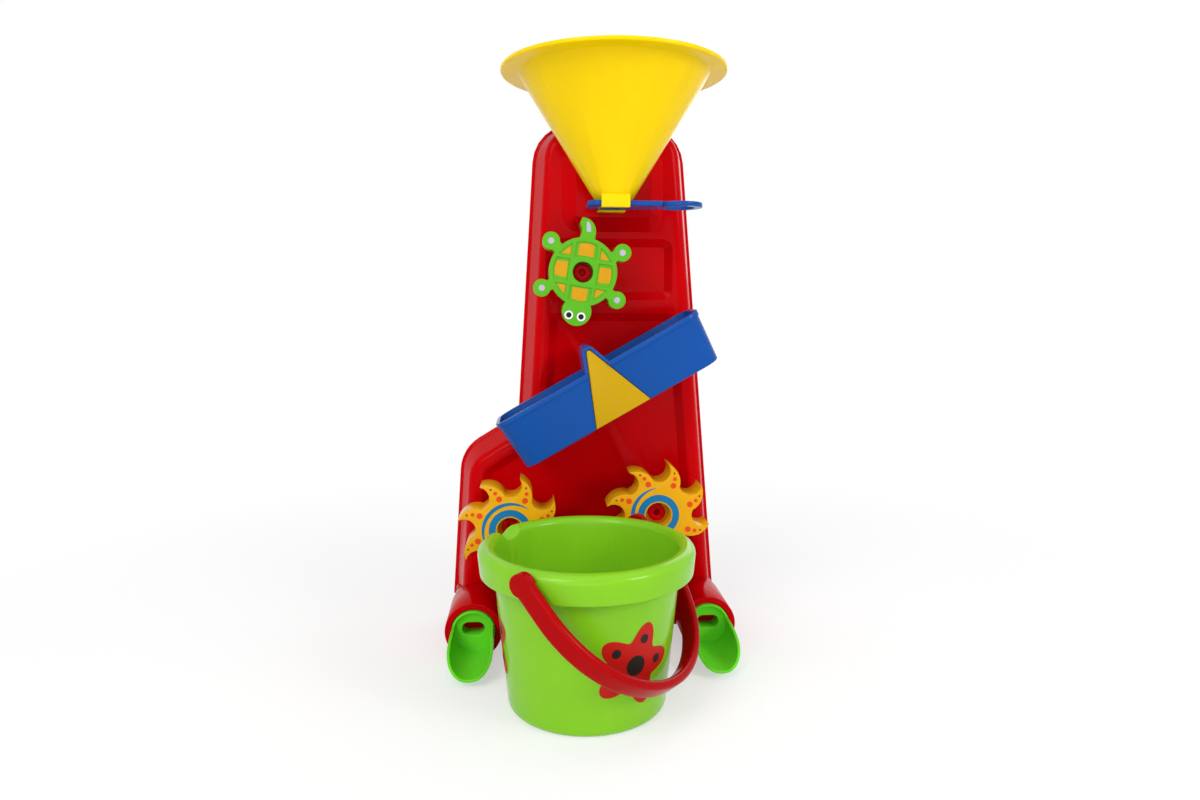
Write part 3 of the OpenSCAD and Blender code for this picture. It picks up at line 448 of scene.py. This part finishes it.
@dataclass(frozen=True)
class MouldedPiece:
    """A CAD solid with the small round edges that a mould gives it.

    Where it has a hub, its flat faces are cut in four there, because one that runs all round a hole
    would be filled across it. Where it has a floor, the floor's outer edge has a larger radius.
    """

    node: str
    body: str
    slot: str
    finish: MouldedPlastic
    edge_mm: float
    segments: int = 2
    hub_mm: Point | None = None
    floor_way: Triple | None = None
    floor_cosine: float = 0.99
    floor_rim_deg: float = 75.0
    floor_edge_mm: float = 2.2
    floor_segments: int = 4

    def cut_hub(self, bm: bmesh.types.BMesh) -> None:
        """Cuts the solid's faces in four round the hub."""
        for way in ((1.0, 0.0, 0.0), (0.0, 0.0, 1.0)):
            bmesh.ops.bisect_plane(bm, geom=bm.verts[:] + bm.edges[:] + bm.faces[:], dist=CUT_REACH,
                                   plane_no=way, plane_co=upright(self.hub_mm))

    def round_floor(self, bm: bmesh.types.BMesh) -> None:
        """Gives the outer edge of the floor its larger radius.

        Args:
            bm: The solid's copy.
        """
        down = Vector(self.floor_way)
        floor = max((f for f in bm.faces if f.normal.dot(down) > self.floor_cosine),
                    key=lambda f: f.calc_area())
        limit = math.radians(self.floor_rim_deg)
        rim = [e for e in floor.edges if e.is_convex and e.calc_face_angle(0.0) > limit]
        round_edges(bm, rim, self.floor_edge_mm, self.floor_segments)

    def build(self, nodes: Nodes) -> None:
        """Copies the solid, rounds its edges and lets the copy stand for it.

        Args:
            nodes: The CAD nodes by name.
        """
        bm = cad_copy(nodes[self.node])
        if self.hub_mm:
            self.cut_hub(bm)
        if self.floor_way:
            self.round_floor(bm)
        round_edges(bm, sharp_edges(bm.edges), self.edge_mm, self.segments)
        shade_smooth(bm)
        piece = new_piece(self.node + "_moulded", bm, self.finish, self.body)
        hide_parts(self.node)


@dataclass
class FacePaint:
    """Paint on the flat front of a wheel: thin films, laid out in its own plane round its hub."""

    name: str
    hub_mm: Point
    front_mm: float
    turn_deg: float
    bm: bmesh.types.BMesh = field(default_factory=bmesh.new)

    def disc(self, centre: Point, radius: float, steps: int = 32) -> None:
        """Adds a round spot at a place given in millimetres from the hub."""
        place = Matrix.Translation(upright(centre)) @ Matrix.Rotation(math.pi / 2, 4, "X")
        bmesh.ops.create_circle(self.bm, cap_ends=True, radius=radius * MM, segments=steps,
                                matrix=place)

    def outline(self, points: Iterable[Point]) -> None:
        """Adds a shape by its outline, in order round it."""
        verts = [self.bm.verts.new(upright(point)) for point in points]
        bmesh.ops.contextual_create(self.bm, geom=ring_edges(self.bm, verts))

    def band(self, start: float, end: float, inner: float, outer: float,
             width: Callable[[float], float] | None = None, steps: int = 72) -> None:
        """Adds a curved band round the hub.

        Args:
            start: First angle in degrees.
            end: Last angle in degrees.
            inner: Inner radius in millimetres.
            outer: Outer radius in millimetres.
            width: Share of the full width for a place from 0 to 1 along the band, or None for all.
            steps: Number of panes.
        """
        first = math.radians(start)
        count = len(self.bm.verts)
        verts = [self.bm.verts.new(upright(around(r, start))) for r in (inner, outer)]
        line = self.bm.edges.new(verts)
        bmesh.ops.spin(self.bm, geom=verts + [line], cent=(0.0, 0.0, 0.0), axis=(0.0, -1.0, 0.0),
                       angle=math.radians(end - start), steps=steps, use_merge=end - start >= 360.0)
        if width is None:
            return
        self.bm.verts.ensure_lookup_table()
        for vert in self.bm.verts[count:]:
            if vert.co.length < (inner + outer) / 2 * MM:
                turn = (math.atan2(vert.co.z, vert.co.x) - first) % (2 * math.pi)
                share = min(turn / math.radians(end - start), 1.0)
                vert.co *= (outer - (outer - inner) * width(share)) * MM / vert.co.length

    def build(self, finish: PrintedInk, body: str, slot: str) -> None:
        """Gives the films their thickness and places them on the wheel.

        Args:
            finish: The paint.
            body: The body of the wheel.
            slot: The record's material slot; not used.
        """
        bmesh.ops.remove_doubles(self.bm, verts=self.bm.verts[:], dist=FILM_MERGE)
        films = bmesh.ops.extrude_face_region(self.bm, geom=self.bm.faces[:])
        moved = [v for v in films["geom"] if isinstance(v, bmesh.types.BMVert)]
        bmesh.ops.translate(self.bm, verts=moved, vec=(0.0, -PAINT_MM * MM, 0.0))
        bmesh.ops.recalc_face_normals(self.bm, faces=self.bm.faces[:])
        turn = Matrix.Rotation(math.radians(-self.turn_deg), 4, "Y")
        place = Matrix.Translation(upright(self.hub_mm, self.front_mm))
        bmesh.ops.transform(self.bm, matrix=place @ turn, verts=self.bm.verts[:])
        new_piece(self.name, self.bm, finish, body)


@dataclass
class TurtleWheel:
    """The turtle wheel: its moulded body, yellow fields, paw spots, eyes and tail stripe."""

    body: str = "turtle"
    slot: str = "turtle_green"
    hub_mm: Point = (-5.4, 279.5)
    front_mm: float = -59.0
    turn_deg: float = -9.3
    edge_mm: float = 1.0
    edge_segments: int = 4
    field_depth_mm: float = 0.8
    middle_field: tuple[Point, ...] = ((-5.6, 11.4), (5.6, 11.4), (5.2, 19.6), (0.0, 20.4),
                                       (-5.2, 19.6))
    corner_field: tuple[Point, ...] = ((10.6, 10.6), (17.2, 10.6), (14.1, 14.1), (10.6, 17.2))
    paw_reach_mm: float = 31.3
    paw_r_mm: float = 2.2
    paw_angles: tuple[float, ...] = (35.0, 145.0, 210.0, 330.0)
    tail_stripe: tuple[Point, ...] = ((-1.9, 28.2), (1.2, 28.6), (0.5, 32.4), (-1.0, 35.0),
                                      (-3.0, 35.4))
    eyes: tuple[Point, ...] = ((-5.3, -31.4), (3.7, -31.4))
    eye_r_mm: float = 3.1
    pupils: tuple[Point, ...] = ((-5.2, -31.4), (3.6, -31.4))
    pupil_r_mm: float = 1.95

    def paint(self, name: str, depth_mm: float = 0.0) -> FacePaint:
        """Starts a layer of paint on the front, or so far behind it."""
        return FacePaint(name, self.hub_mm, self.front_mm + depth_mm, self.turn_deg)

    def build(self, nodes: Nodes) -> None:
        """Builds the moulded wheel and all its paint.

        Args:
            nodes: The CAD nodes by name.
        """
        MouldedPiece("turtle_wheel", self.body, self.slot, TURTLE_PLASTIC, self.edge_mm,
                     self.edge_segments, self.hub_mm).build(nodes)
        self.paint_fields()
        self.paint_paws_and_tail()
        self.paint_eyes()

    def paint_fields(self) -> None:
        """Paints the eight yellow fields of the shell."""
        paint = self.paint("turtle_field_paint", self.field_depth_mm)
        for quarter in range(4):
            c, s = around(1.0, 90.0 * quarter)
            for shape in (self.middle_field, self.corner_field):
                paint.outline([(x * c - z * s, x * s + z * c) for x, z in shape])
        paint.build(FIELD_ENAMEL, self.body, self.slot)

    def paint_paws_and_tail(self) -> None:
        """Paints the pale spots of the paws and the stripe on the tail."""
        paint = self.paint("turtle_paw_paint")
        for angle in self.paw_angles:
            paint.disc(around(self.paw_reach_mm, angle), self.paw_r_mm)
        paint.outline(self.tail_stripe)
        paint.build(PAW_ENAMEL, self.body, self.slot)

    def paint_eyes(self) -> None:
        """Paints the whites of the eyes and the pupils over them."""
        white = self.paint("turtle_eye_paint")
        for eye in self.eyes:
            white.disc(eye, self.eye_r_mm)
        white.build(EYE_ENAMEL, self.body, self.slot)
        black = self.paint("turtle_pupil_paint", -PAINT_MM)
        for pupil in self.pupils:
            black.disc(pupil, self.pupil_r_mm)
        black.build(PUPIL_ENAMEL, self.body, self.slot)


@dataclass(frozen=True)
class RaySpot:
    """A round spot on each ray: how far out, how far past the ray's own angle, and its radius."""

    reach_mm: float
    lead_deg: float
    radius_mm: float


@dataclass
class SunWheel:
    """A sun wheel: hooked rays with spots, and a blue swirl round the hub."""

    side: Side
    hub_mm: Point
    turn_deg: float
    print_turn_deg: float
    slot: str = "sun_yellow"
    front_mm: float = -59.0
    edge_mm: float = 0.9
    edge_segments: int = 3
    rays: int = 8
    ring_r_mm: Point = (10.4, 15.4)
    tail_r_mm: Point = (17.7, 20.6)
    tail_span_deg: Point = (95.0, 262.0)
    tail_thin: float = 0.06
    tail_bend: float = 0.8
    spots: tuple[RaySpot, ...] = (RaySpot(24.6, -11.5, 2.2), RaySpot(29.6, -9.0, 1.45))
    small_spots: tuple[RaySpot, ...] = (RaySpot(33.4, -5.5, 0.75),)
    spot_steps: int = 24

    @property
    def body(self) -> str:
        """Returns the name of the wheel's body."""
        return f"{self.side.value}_sun"

    def build(self, nodes: Nodes) -> None:
        """Builds the moulded wheel and its paint.

        Args:
            nodes: The CAD nodes by name.
        """
        MouldedPiece(f"{self.body}_wheel", self.body, self.slot, SUN_PLASTIC, self.edge_mm,
                     self.edge_segments, self.hub_mm).build(nodes)
        swirl = FacePaint(f"{self.body}_swirl", self.hub_mm, self.front_mm, self.print_turn_deg)
        swirl.band(0.0, 360.0, *self.ring_r_mm)
        swirl.band(*self.tail_span_deg, *self.tail_r_mm, self.tail_width)
        swirl.build(SWIRL_ENAMEL, self.body, self.slot)
        self.paint_spots("spots", self.spots, SPOT_ENAMEL)
        self.paint_spots("small_spots", self.small_spots, SMALL_SPOT_ENAMEL)

    def tail_width(self, share: float) -> float:
        """Returns the share of its full width that the swirl's tail has at a share of its length."""
        swell = max(math.sin(math.pi * share), 0.0) ** self.tail_bend
        return self.tail_thin + (1.0 - self.tail_thin) * swell

    def paint_spots(self, name: str, spots: Sequence[RaySpot], finish: PrintedInk) -> None:
        """Paints the same spots on every ray.

        Args:
            name: What the piece's name ends with.
            spots: The spots of one ray.
            finish: The paint.
        """
        paint = FacePaint(f"{self.body}_{name}", self.hub_mm, self.front_mm, self.turn_deg)
        for ray in range(self.rays):
            for spot in spots:
                angle = 360.0 / self.rays * ray + spot.lead_deg
                paint.disc(around(spot.reach_mm, angle), spot.radius_mm, self.spot_steps)
        paint.build(finish, self.body, self.slot)


@dataclass(frozen=True)
class Flower:
    """Where a flower is printed: its direction from the X axis, its height and its turn."""

    azimuth_deg: float
    height_mm: float
    turn_deg: float


@dataclass
class Bucket:
    """The bucket, its bail and the flowers printed on its wall."""

    body: str = "bucket_stand"
    slot: str = "bucket_green"
    centre_mm: Point = (-8.0, -135.0)
    base_r_mm: float = 51.0
    neck_r_mm: float = 61.2
    height_mm: float = 106.0
    film_mm: float = 0.15
    ink_mm: float = 0.1
    flowers: tuple[Flower, ...] = (Flower(-62.0, 44.0, 0.0), Flower(178.0, 47.0, 24.0),
                                   Flower(58.0, 44.0, 12.0))
    petals: int = 5
    petal_r_mm: float = 21.5
    petal_wave_mm: float = 5.6
    petal_steps: int = 90
    petal_rings: int = 5
    heart_r_mm: float = 6.4
    heart_steps: int = 36
    dot_reach_mm: float = 16.8
    dot_r_mm: float = 2.9
    dot_steps: int = 24
    dot_rings: int = 2

    def build(self, nodes: Nodes) -> None:
        """Builds the bucket, the bail and the print.

        Args:
            nodes: The CAD nodes by name.
        """
        MouldedPiece("bucket", self.body, self.slot, BUCKET_PLASTIC, edge_mm=0.5).build(nodes)
        # The bail is of the tower's red plastic, drawn with a darker red that is painted shade
        MouldedPiece("bail_handle", "bail", "tower_red", BAIL_PLASTIC_PAINTED_SHADE, edge_mm=0.8,
                     segments=3).build(nodes)
        self.print_flowers()

    def on_wall(self, u: float, v: float, azimuth: float, lift: float) -> Vector:
        """Finds the place on the wall of a point on the flat print.

        Args:
            u: Millimetres along the wall from the azimuth.
            v: Height in millimetres.
            azimuth: Direction of the print's middle, in degrees from the X axis.
            lift: Height over the wall in millimetres.

        Returns:
            The point in metres.
        """
        wall = self.base_r_mm + (self.neck_r_mm - self.base_r_mm) * v / self.height_mm + lift
        angle = math.radians(azimuth) + u / wall
        return Vector(((self.centre_mm[0] + wall * math.cos(angle)) * MM,
                       (self.centre_mm[1] + wall * math.sin(angle)) * MM, v * MM))

    def petal_reach(self, angle: float) -> float:
        """Returns the flower's radius in a direction in radians."""
        return self.petal_r_mm + self.petal_wave_mm * math.cos(self.petals * angle)

    def print_patch(self, bm: bmesh.types.BMesh, flower: Flower, centre: Point,
                    radius: Callable[[float], float], lift: float, steps: int, rings: int) -> None:
        """Adds one printed shape, round a centre, that follows the wall.

        Args:
            bm: The mesh of the print.
            flower: The flower that the shape belongs to.
            centre: The shape's centre from the flower's middle, in millimetres.
            radius: The shape's radius for an angle in radians.
            lift: Height over the wall in millimetres.
            steps: Points round the outline.
            rings: Rings from the outline to the centre.
        """
        c, s = around(1.0, flower.turn_deg)
        count = len(bm.verts)
        ring = bmesh.ops.create_circle(bm, cap_ends=False, radius=1.0, segments=steps)["verts"]
        edges = list(dict.fromkeys(edge for vert in ring for edge in vert.link_edges))
        for k in range(rings, 1, -1):
            grown = bmesh.ops.extrude_edge_only(bm, edges=edges)["geom"]
            edges = [part for part in grown if isinstance(part, bmesh.types.BMEdge)]
            bmesh.ops.scale(bm, vec=Vector((1.0, 1.0, 1.0)) * ((k - 1) / k),
                            verts=[part for part in grown if isinstance(part, bmesh.types.BMVert)])
        bmesh.ops.contextual_create(bm, geom=edges)
        bm.verts.ensure_lookup_table()
        for vert in bm.verts[count:]:
            angle = math.atan2(vert.co.y, vert.co.x)
            reach = radius(angle) * vert.co.length
            x, z = centre[0] + reach * math.cos(angle), centre[1] + reach * math.sin(angle)
            vert.co = self.on_wall(x * c - z * s, flower.height_mm + x * s + z * c,
                                   flower.azimuth_deg, lift)

    def close_films(self, bm: bmesh.types.BMesh) -> None:
        """Turns the printed shapes outwards and gives them the thickness of the ink.

        Args:
            bm: The mesh of the print.
        """
        bmesh.ops.recalc_face_normals(bm, faces=bm.faces[:])
        axis = Vector((self.centre_mm[0] * MM, self.centre_mm[1] * MM, 0.0))
        for face in bm.faces:
            out = face.calc_center_median() - axis
            out.z = 0.0
            if face.normal.dot(out) < 0:
                face.normal_flip()
        bmesh.ops.solidify(bm, geom=bm.faces[:], thickness=self.ink_mm * MM)
        shade_smooth(bm)

    def print_flowers(self) -> None:
        """Prints the flowers: red petals, then black hearts and dots over them."""
        petals, hearts = bmesh.new(), bmesh.new()
        over = 2 * self.film_mm
        for flower in self.flowers:
            self.print_patch(petals, flower, (0.0, 0.0), self.petal_reach, self.film_mm,
                             self.petal_steps, self.petal_rings)
            self.print_patch(hearts, flower, (0.0, 0.0), lambda angle: self.heart_r_mm, over,
                             self.heart_steps, self.dot_rings)
            for k in range(self.petals):
                centre = around(self.dot_reach_mm, 360.0 / self.petals * k)
                self.print_patch(hearts, flower, centre, lambda angle: self.dot_r_mm, over,
                                 self.dot_steps, self.dot_rings)
        for name, bm, ink in (("bucket_flower_print", petals, PETAL_INK),
                              ("bucket_flower_hearts", hearts, HEART_INK)):
            self.close_films(bm)
            new_piece(name, bm, ink, self.body)


@dataclass(frozen=True)
class Scoop:
    """A scoop: the plug of the CAD solid, drawn in to the width seen, and a shovel with a round lip."""

    side: Side
    axis_x_mm: float
    axis_z_mm: float = 19.95
    solid_r_mm: float = 18.45
    outer_r_mm: float = 15.9
    bore_r_mm: float = 16.3
    tube_r_mm: float = 18.9
    wall_mm: float = 2.0
    tube_front_mm: float = -66.0
    mouth_proud_mm: float = 0.05
    mouth_depth_mm: float = 8.0
    mouth_steps: int = 72
    brow_mm: float = -68.4
    lip_mm: float = -115.0
    rim_rise_mm: float = 6.0
    lip_rise_mm: float = 1.6
    rim_bend: float = 2.7
    shovel_inset_mm: float = 0.05
    shovel_overlap_mm: float = 1.0
    shovel_panes: int = 28
    belly_mm: float = 4.0
    edge_mm: float = 0.6
    edge_segments: int = 3

    def build(self, nodes: Nodes) -> None:
        """Builds the scoop and the thick mouth of the tube that holds it.

        Args:
            nodes: The CAD nodes by name.
        """
        node = f"{self.side.value}_scoop"
        bm = cad_copy(nodes[node])
        self.cut_plug(bm)
        self.add_shovel(bm)
        shade_smooth(bm)
        piece = new_piece(f"{node}_moulded", bm, SCOOP_PLASTIC, f"{node}_plug")
        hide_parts(node)
        self.build_mouth()

    def soften(self, bm: bmesh.types.BMesh, edges: Iterable[bmesh.types.BMEdge]) -> None:
        """Rounds those of the edges that are sharp."""
        round_edges(bm, sharp_edges(edges), self.edge_mm, self.edge_segments)

    def cut_plug(self, bm: bmesh.types.BMesh) -> None:
        """Keeps the solid behind the brow, closes the cut and draws it in round its axis.

        Args:
            bm: The solid's copy.
        """
        bmesh.ops.bisect_plane(bm, geom=bm.verts[:] + bm.edges[:] + bm.faces[:], dist=CUT_REACH,
                               clear_outer=True, plane_co=(0.0, self.brow_mm * MM, 0.0),
                               plane_no=(0.0, -1.0, 0.0))
        bmesh.ops.bridge_loops(bm, edges=[e for e in bm.edges if e.is_boundary])
        share = self.outer_r_mm / self.solid_r_mm
        middle = Matrix.Translation(-upright((self.axis_x_mm, self.axis_z_mm)))
        bmesh.ops.scale(bm, vec=(share, 1.0, share), space=middle, verts=bm.verts[:])
        bmesh.ops.recalc_face_normals(bm, faces=bm.faces[:])
        self.soften(bm, bm.edges)

    def rim_z(self, y: float) -> float:
        """Finds the height of the shovel's rim over the axis.

        Args:
            y: The depth, in millimetres.

        Returns:
            The height, in millimetres.
        """
        share = min(max((self.brow_mm - y) / (self.brow_mm - self.lip_mm), 0.0), 1.0)
        low = self.lip_rise_mm - self.outer_r_mm
        return low + (self.rim_rise_mm - low) * (1.0 - share**self.rim_bend)

    def add_shovel(self, bm: bmesh.types.BMesh) -> None:
        """Adds the shovel: a sheet bent round the axis below a rim that falls to the lip, given a wall.

        Args:
            bm: The plug, which the shovel's back end stands in.
        """
        start = self.brow_mm + self.shovel_overlap_mm
        radius = self.outer_r_mm - self.shovel_inset_mm
        verts = bmesh.ops.create_grid(bm, x_segments=self.shovel_panes, y_segments=self.shovel_panes,
                                      size=1.0)["verts"]
        faces = list(dict.fromkeys(face for vert in verts for face in vert.link_faces))
        for vert in verts:
            y = start + (self.lip_mm - start) * (vert.co.y + 1.0) / 2.0
            turn = vert.co.x * math.acos(max(-self.rim_z(y) / radius, -1.0))
            vert.co = Vector((self.axis_x_mm + radius * math.sin(turn), y,
                              self.axis_z_mm - radius * math.cos(turn))) * MM
        bmesh.ops.recalc_face_normals(bm, faces=faces)
        if any(f.normal.z > 0 and abs(f.calc_center_median().x / MM - self.axis_x_mm) < self.belly_mm
               for f in faces):
            bmesh.ops.reverse_faces(bm, faces=faces)
        grown = bmesh.ops.solidify(bm, geom=faces, thickness=self.wall_mm * MM)["geom"]
        walls = [part for part in grown if isinstance(part, bmesh.types.BMFace)]
        shell = list(dict.fromkeys(walls + faces))
        bmesh.ops.recalc_face_normals(bm, faces=shell)
        self.soften(bm, dict.fromkeys(edge for face in shell for edge in face.edges))

    def build_mouth(self) -> None:
        """Adds the thick front end of the foot tube, which the scoop slides in."""
        bm = bmesh.new()
        front, back = self.tube_front_mm - self.mouth_proud_mm, self.tube_front_mm + self.mouth_depth_mm
        corners = ((self.bore_r_mm, front), (self.tube_r_mm, front), (self.tube_r_mm, back),
                   (self.bore_r_mm, back))
        verts = [bm.verts.new(upright((self.axis_x_mm + r, self.axis_z_mm), y)) for r, y in corners]
        bmesh.ops.spin(bm, geom=verts + ring_edges(bm, verts),
                       cent=upright((self.axis_x_mm, self.axis_z_mm)), axis=(0.0, 1.0, 0.0),
                       angle=2 * math.pi, steps=self.mouth_steps, use_merge=True)
        bmesh.ops.recalc_face_normals(bm, faces=bm.faces[:])
        self.soften(bm, bm.edges)
        shade_smooth(bm)
        new_piece(f"{self.side.value}_tube_mouth", bm, TOWER_PLASTIC, "tower")


@dataclass
class Tower:
    """The tower with what is fixed to it, its gate, its trough and the scoops in its feet."""

    body: str = "tower"
    feet: tuple[tuple[Side, float], ...] = ((Side.LEFT, -FOOT_X_MM), (Side.RIGHT, FOOT_X_MM))
    foot_z_mm: float = 20.8
    pins: tuple[str, ...] = ("turtle", "trough", "left_sun", "right_sun")
    trough_floor_way: Triple = (0.4924, 0.0, -0.8704)

    def red(self, node: str, edge_mm: float, hub_mm: Point | None = None) -> MouldedPiece:
        """Returns a piece of the tower's own plastic, fixed to it."""
        return MouldedPiece(node, self.body, "tower_red", TOWER_PLASTIC, edge_mm, hub_mm=hub_mm)

    def pieces(self) -> list[MouldedPiece]:
        """Lists the moulded pieces in the order in which they are built.

        Returns:
            The pieces.
        """
        tubes = [self.red(f"{side.value}_foot_tube", 0.5, (x, self.foot_z_mm)) for side, x in self.feet]
        pins = [self.red(f"{wheel}_axle_pin", 0.4) for wheel in self.pins]
        return [
            self.red("tower_shell", 0.8), *tubes, *pins,
            MouldedPiece("funnel", self.body, "funnel_yellow", FUNNEL_PLASTIC, edge_mm=0.5),
            MouldedPiece("gate_slider", "gate", "trough_blue", TROUGH_PLASTIC, edge_mm=0.8, segments=3),
            MouldedPiece("tipping_trough", "trough", "trough_blue", TROUGH_PLASTIC, edge_mm=0.3,
                         floor_way=self.trough_floor_way),
            MouldedPiece("trough_cover", "trough", "cover_yellow", COVER_PLASTIC, edge_mm=1.1,
                         segments=3),
        ]

    def build(self, nodes: Nodes) -> None:
        """Builds each piece in order, and then the scoops.

        Args:
            nodes: The CAD nodes by name.
        """
        for piece in self.pieces():
            piece.build(nodes)
        for side, x in self.feet:
            Scoop(side, x).build(nodes)


@dataclass(frozen=True)
class SoftLamp:
    """A square softbox that points at the middle of the toy."""

    name: str
    place: Triple
    size: float
    watts: float
    target: Triple = (0.0, -0.06, 0.2)

    def build(self) -> None:
        """Adds the lamp to the scene."""
        data = bpy.data.lights.new(self.name, "AREA")
        data.shape = "SQUARE"
        data.size = self.size
        data.energy = self.watts
        lamp = add_object(self.name, data)
        lamp.location = self.place
        way = Vector(self.target) - Vector(self.place)
        lamp.rotation_euler = way.to_track_quat("-Z", "Y").to_euler()


@dataclass
class Studio:
    """White floor and surround, soft lamps, and the camera of the photograph."""

    floor_half: float = 3.0
    fade_start: float = 0.18
    fade_end: float = 0.6
    haze: float = 0.5
    ambient: float = 0.5
    paper_colour: Colour = (0.9, 0.9, 0.9, 1.0)
    paper_roughness: float = 0.9
    paper_sheen: float = 0.1
    camera_place: Triple = (-0.0406, -0.6461, 0.25745)
    camera_tilt_deg: float = 83.29
    camera_turn_deg: float = -4.6
    camera_near: float = 0.01
    lens_mm: float = 24.63
    sensor_mm: float = 36.0
    lamps: tuple[SoftLamp, ...] = (
        SoftLamp("key_softbox", (-0.85, -1.15, 1.15), 0.8, 13.0),
        SoftLamp("fill_softbox", (1.05, -0.95, 0.75), 0.5, 8.0),
        SoftLamp("front_softbox", (-0.1, -1.5, 0.35), 0.9, 4.0),
        SoftLamp("top_softbox", (0.1, -0.25, 1.55), 1.2, 4.0),
        SoftLamp("back_softbox", (0.5, 1.3, 0.9), 1.2, 5.0),
    )

    def build(self) -> None:
        """Builds the floor, the surround, the lamps and the camera."""
        bpy.context.scene.view_settings.view_transform = "Standard"
        self.build_floor()
        self.build_world()
        for lamp in self.lamps:
            lamp.build()
        self.build_camera()

    def build_camera(self) -> None:
        """Adds the camera where the photograph was taken from."""
        data = bpy.data.cameras.new("photo_camera")
        data.lens = self.lens_mm
        data.sensor_width = self.sensor_mm
        data.sensor_fit = "HORIZONTAL"
        data.clip_start = self.camera_near
        camera = add_object("photo_camera", data)
        camera.location = self.camera_place
        camera.rotation_euler = (math.radians(self.camera_tilt_deg), 0.0,
                                 math.radians(self.camera_turn_deg))
        bpy.context.scene.camera = camera

    def sight(self, tree: bpy.types.NodeTree) -> bpy.types.NodeSocket:
        """Tells what is seen straight, in a reflection or through the plastic from what only lights.

        Args:
            tree: The nodes of the floor or of the surround.

        Returns:
            A socket with 1 for what is seen and 0 for light.
        """
        path = add_node(tree, "ShaderNodeLightPath")
        mirrored = add_node(tree, "ShaderNodeMath", {"operation": "MAXIMUM"},
                            {0: path.outputs["Is Camera Ray"],
                             1: path.outputs["Is Glossy Ray"]}).outputs[0]
        return add_node(tree, "ShaderNodeMath", {"operation": "MAXIMUM"},
                        {0: mirrored, 1: path.outputs["Is Transmission Ray"]}).outputs[0]

    def build_floor(self) -> None:
        """Adds a white floor that keeps the shadow and fades into the white surround."""
        bm = bmesh.new()
        bmesh.ops.create_grid(bm, x_segments=1, y_segments=1, size=self.floor_half)
        material = bpy.data.materials.new("studio_paper_white")
        tree = empty_tree(material)
        place = add_node(tree, "ShaderNodeTexCoord").outputs["Object"]
        reach = add_node(tree, "ShaderNodeVectorMath", {"operation": "LENGTH"},
                         {0: place}).outputs["Value"]
        fade = add_node(tree, "ShaderNodeMapRange",
                        {"From Min": self.fade_start, "From Max": self.fade_end, "To Min": self.haze},
                        {"Value": reach}).outputs[0]
        paper = add_node(tree, "ShaderNodeBsdfPrincipled",
                         {"Base Color": self.paper_colour, "Roughness": self.paper_roughness,
                          "Specular IOR Level": self.paper_sheen})
        white = add_node(tree, "ShaderNodeEmission", {"Color": WHITE, "Strength": 1.0})
        share = add_node(tree, "ShaderNodeMath", {"operation": "MULTIPLY"},
                         {0: fade, 1: self.sight(tree)}).outputs[0]
        surface = add_node(tree, "ShaderNodeMixShader",
                           links={0: share, 1: paper.outputs[0], 2: white.outputs[0]})
        add_node(tree, "ShaderNodeOutputMaterial", links={"Surface": surface.outputs[0]})
        add_mesh("studio_floor", bm, material)

    def build_world(self) -> None:
        """Sets a white surround, dimmer as a light than as a background."""
        world = bpy.data.worlds.new("studio_surround")
        tree = empty_tree(world)
        level = add_node(tree, "ShaderNodeMapRange", {"To Min": self.ambient, "To Max": 1.0},
                         {"Value": self.sight(tree)}).outputs[0]
        light = add_node(tree, "ShaderNodeBackground", {"Color": WHITE}, {"Strength": level})
        add_node(tree, "ShaderNodeOutputWorld", links={"Surface": light.outputs[0]})
        bpy.context.scene.world = world


def main() -> None:
    """Loads the frame, dresses every piece and sets the studio."""
    logging.basicConfig(level=logging.INFO, format="%(message)s")
    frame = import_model()
    nodes = frame["nodes"]
    Tower().build(nodes)
    TurtleWheel().build(nodes)
    SunWheel(Side.LEFT, hub_mm=(-59.2, 92.9), turn_deg=29.5, print_turn_deg=-45.5).build(nodes)
    SunWheel(Side.RIGHT, hub_mm=(50.0, 101.99), turn_deg=30.0, print_turn_deg=0.0).build(nodes)
    Bucket().build(nodes)
    Studio().build()


if __name__ == "__main__":
    main()
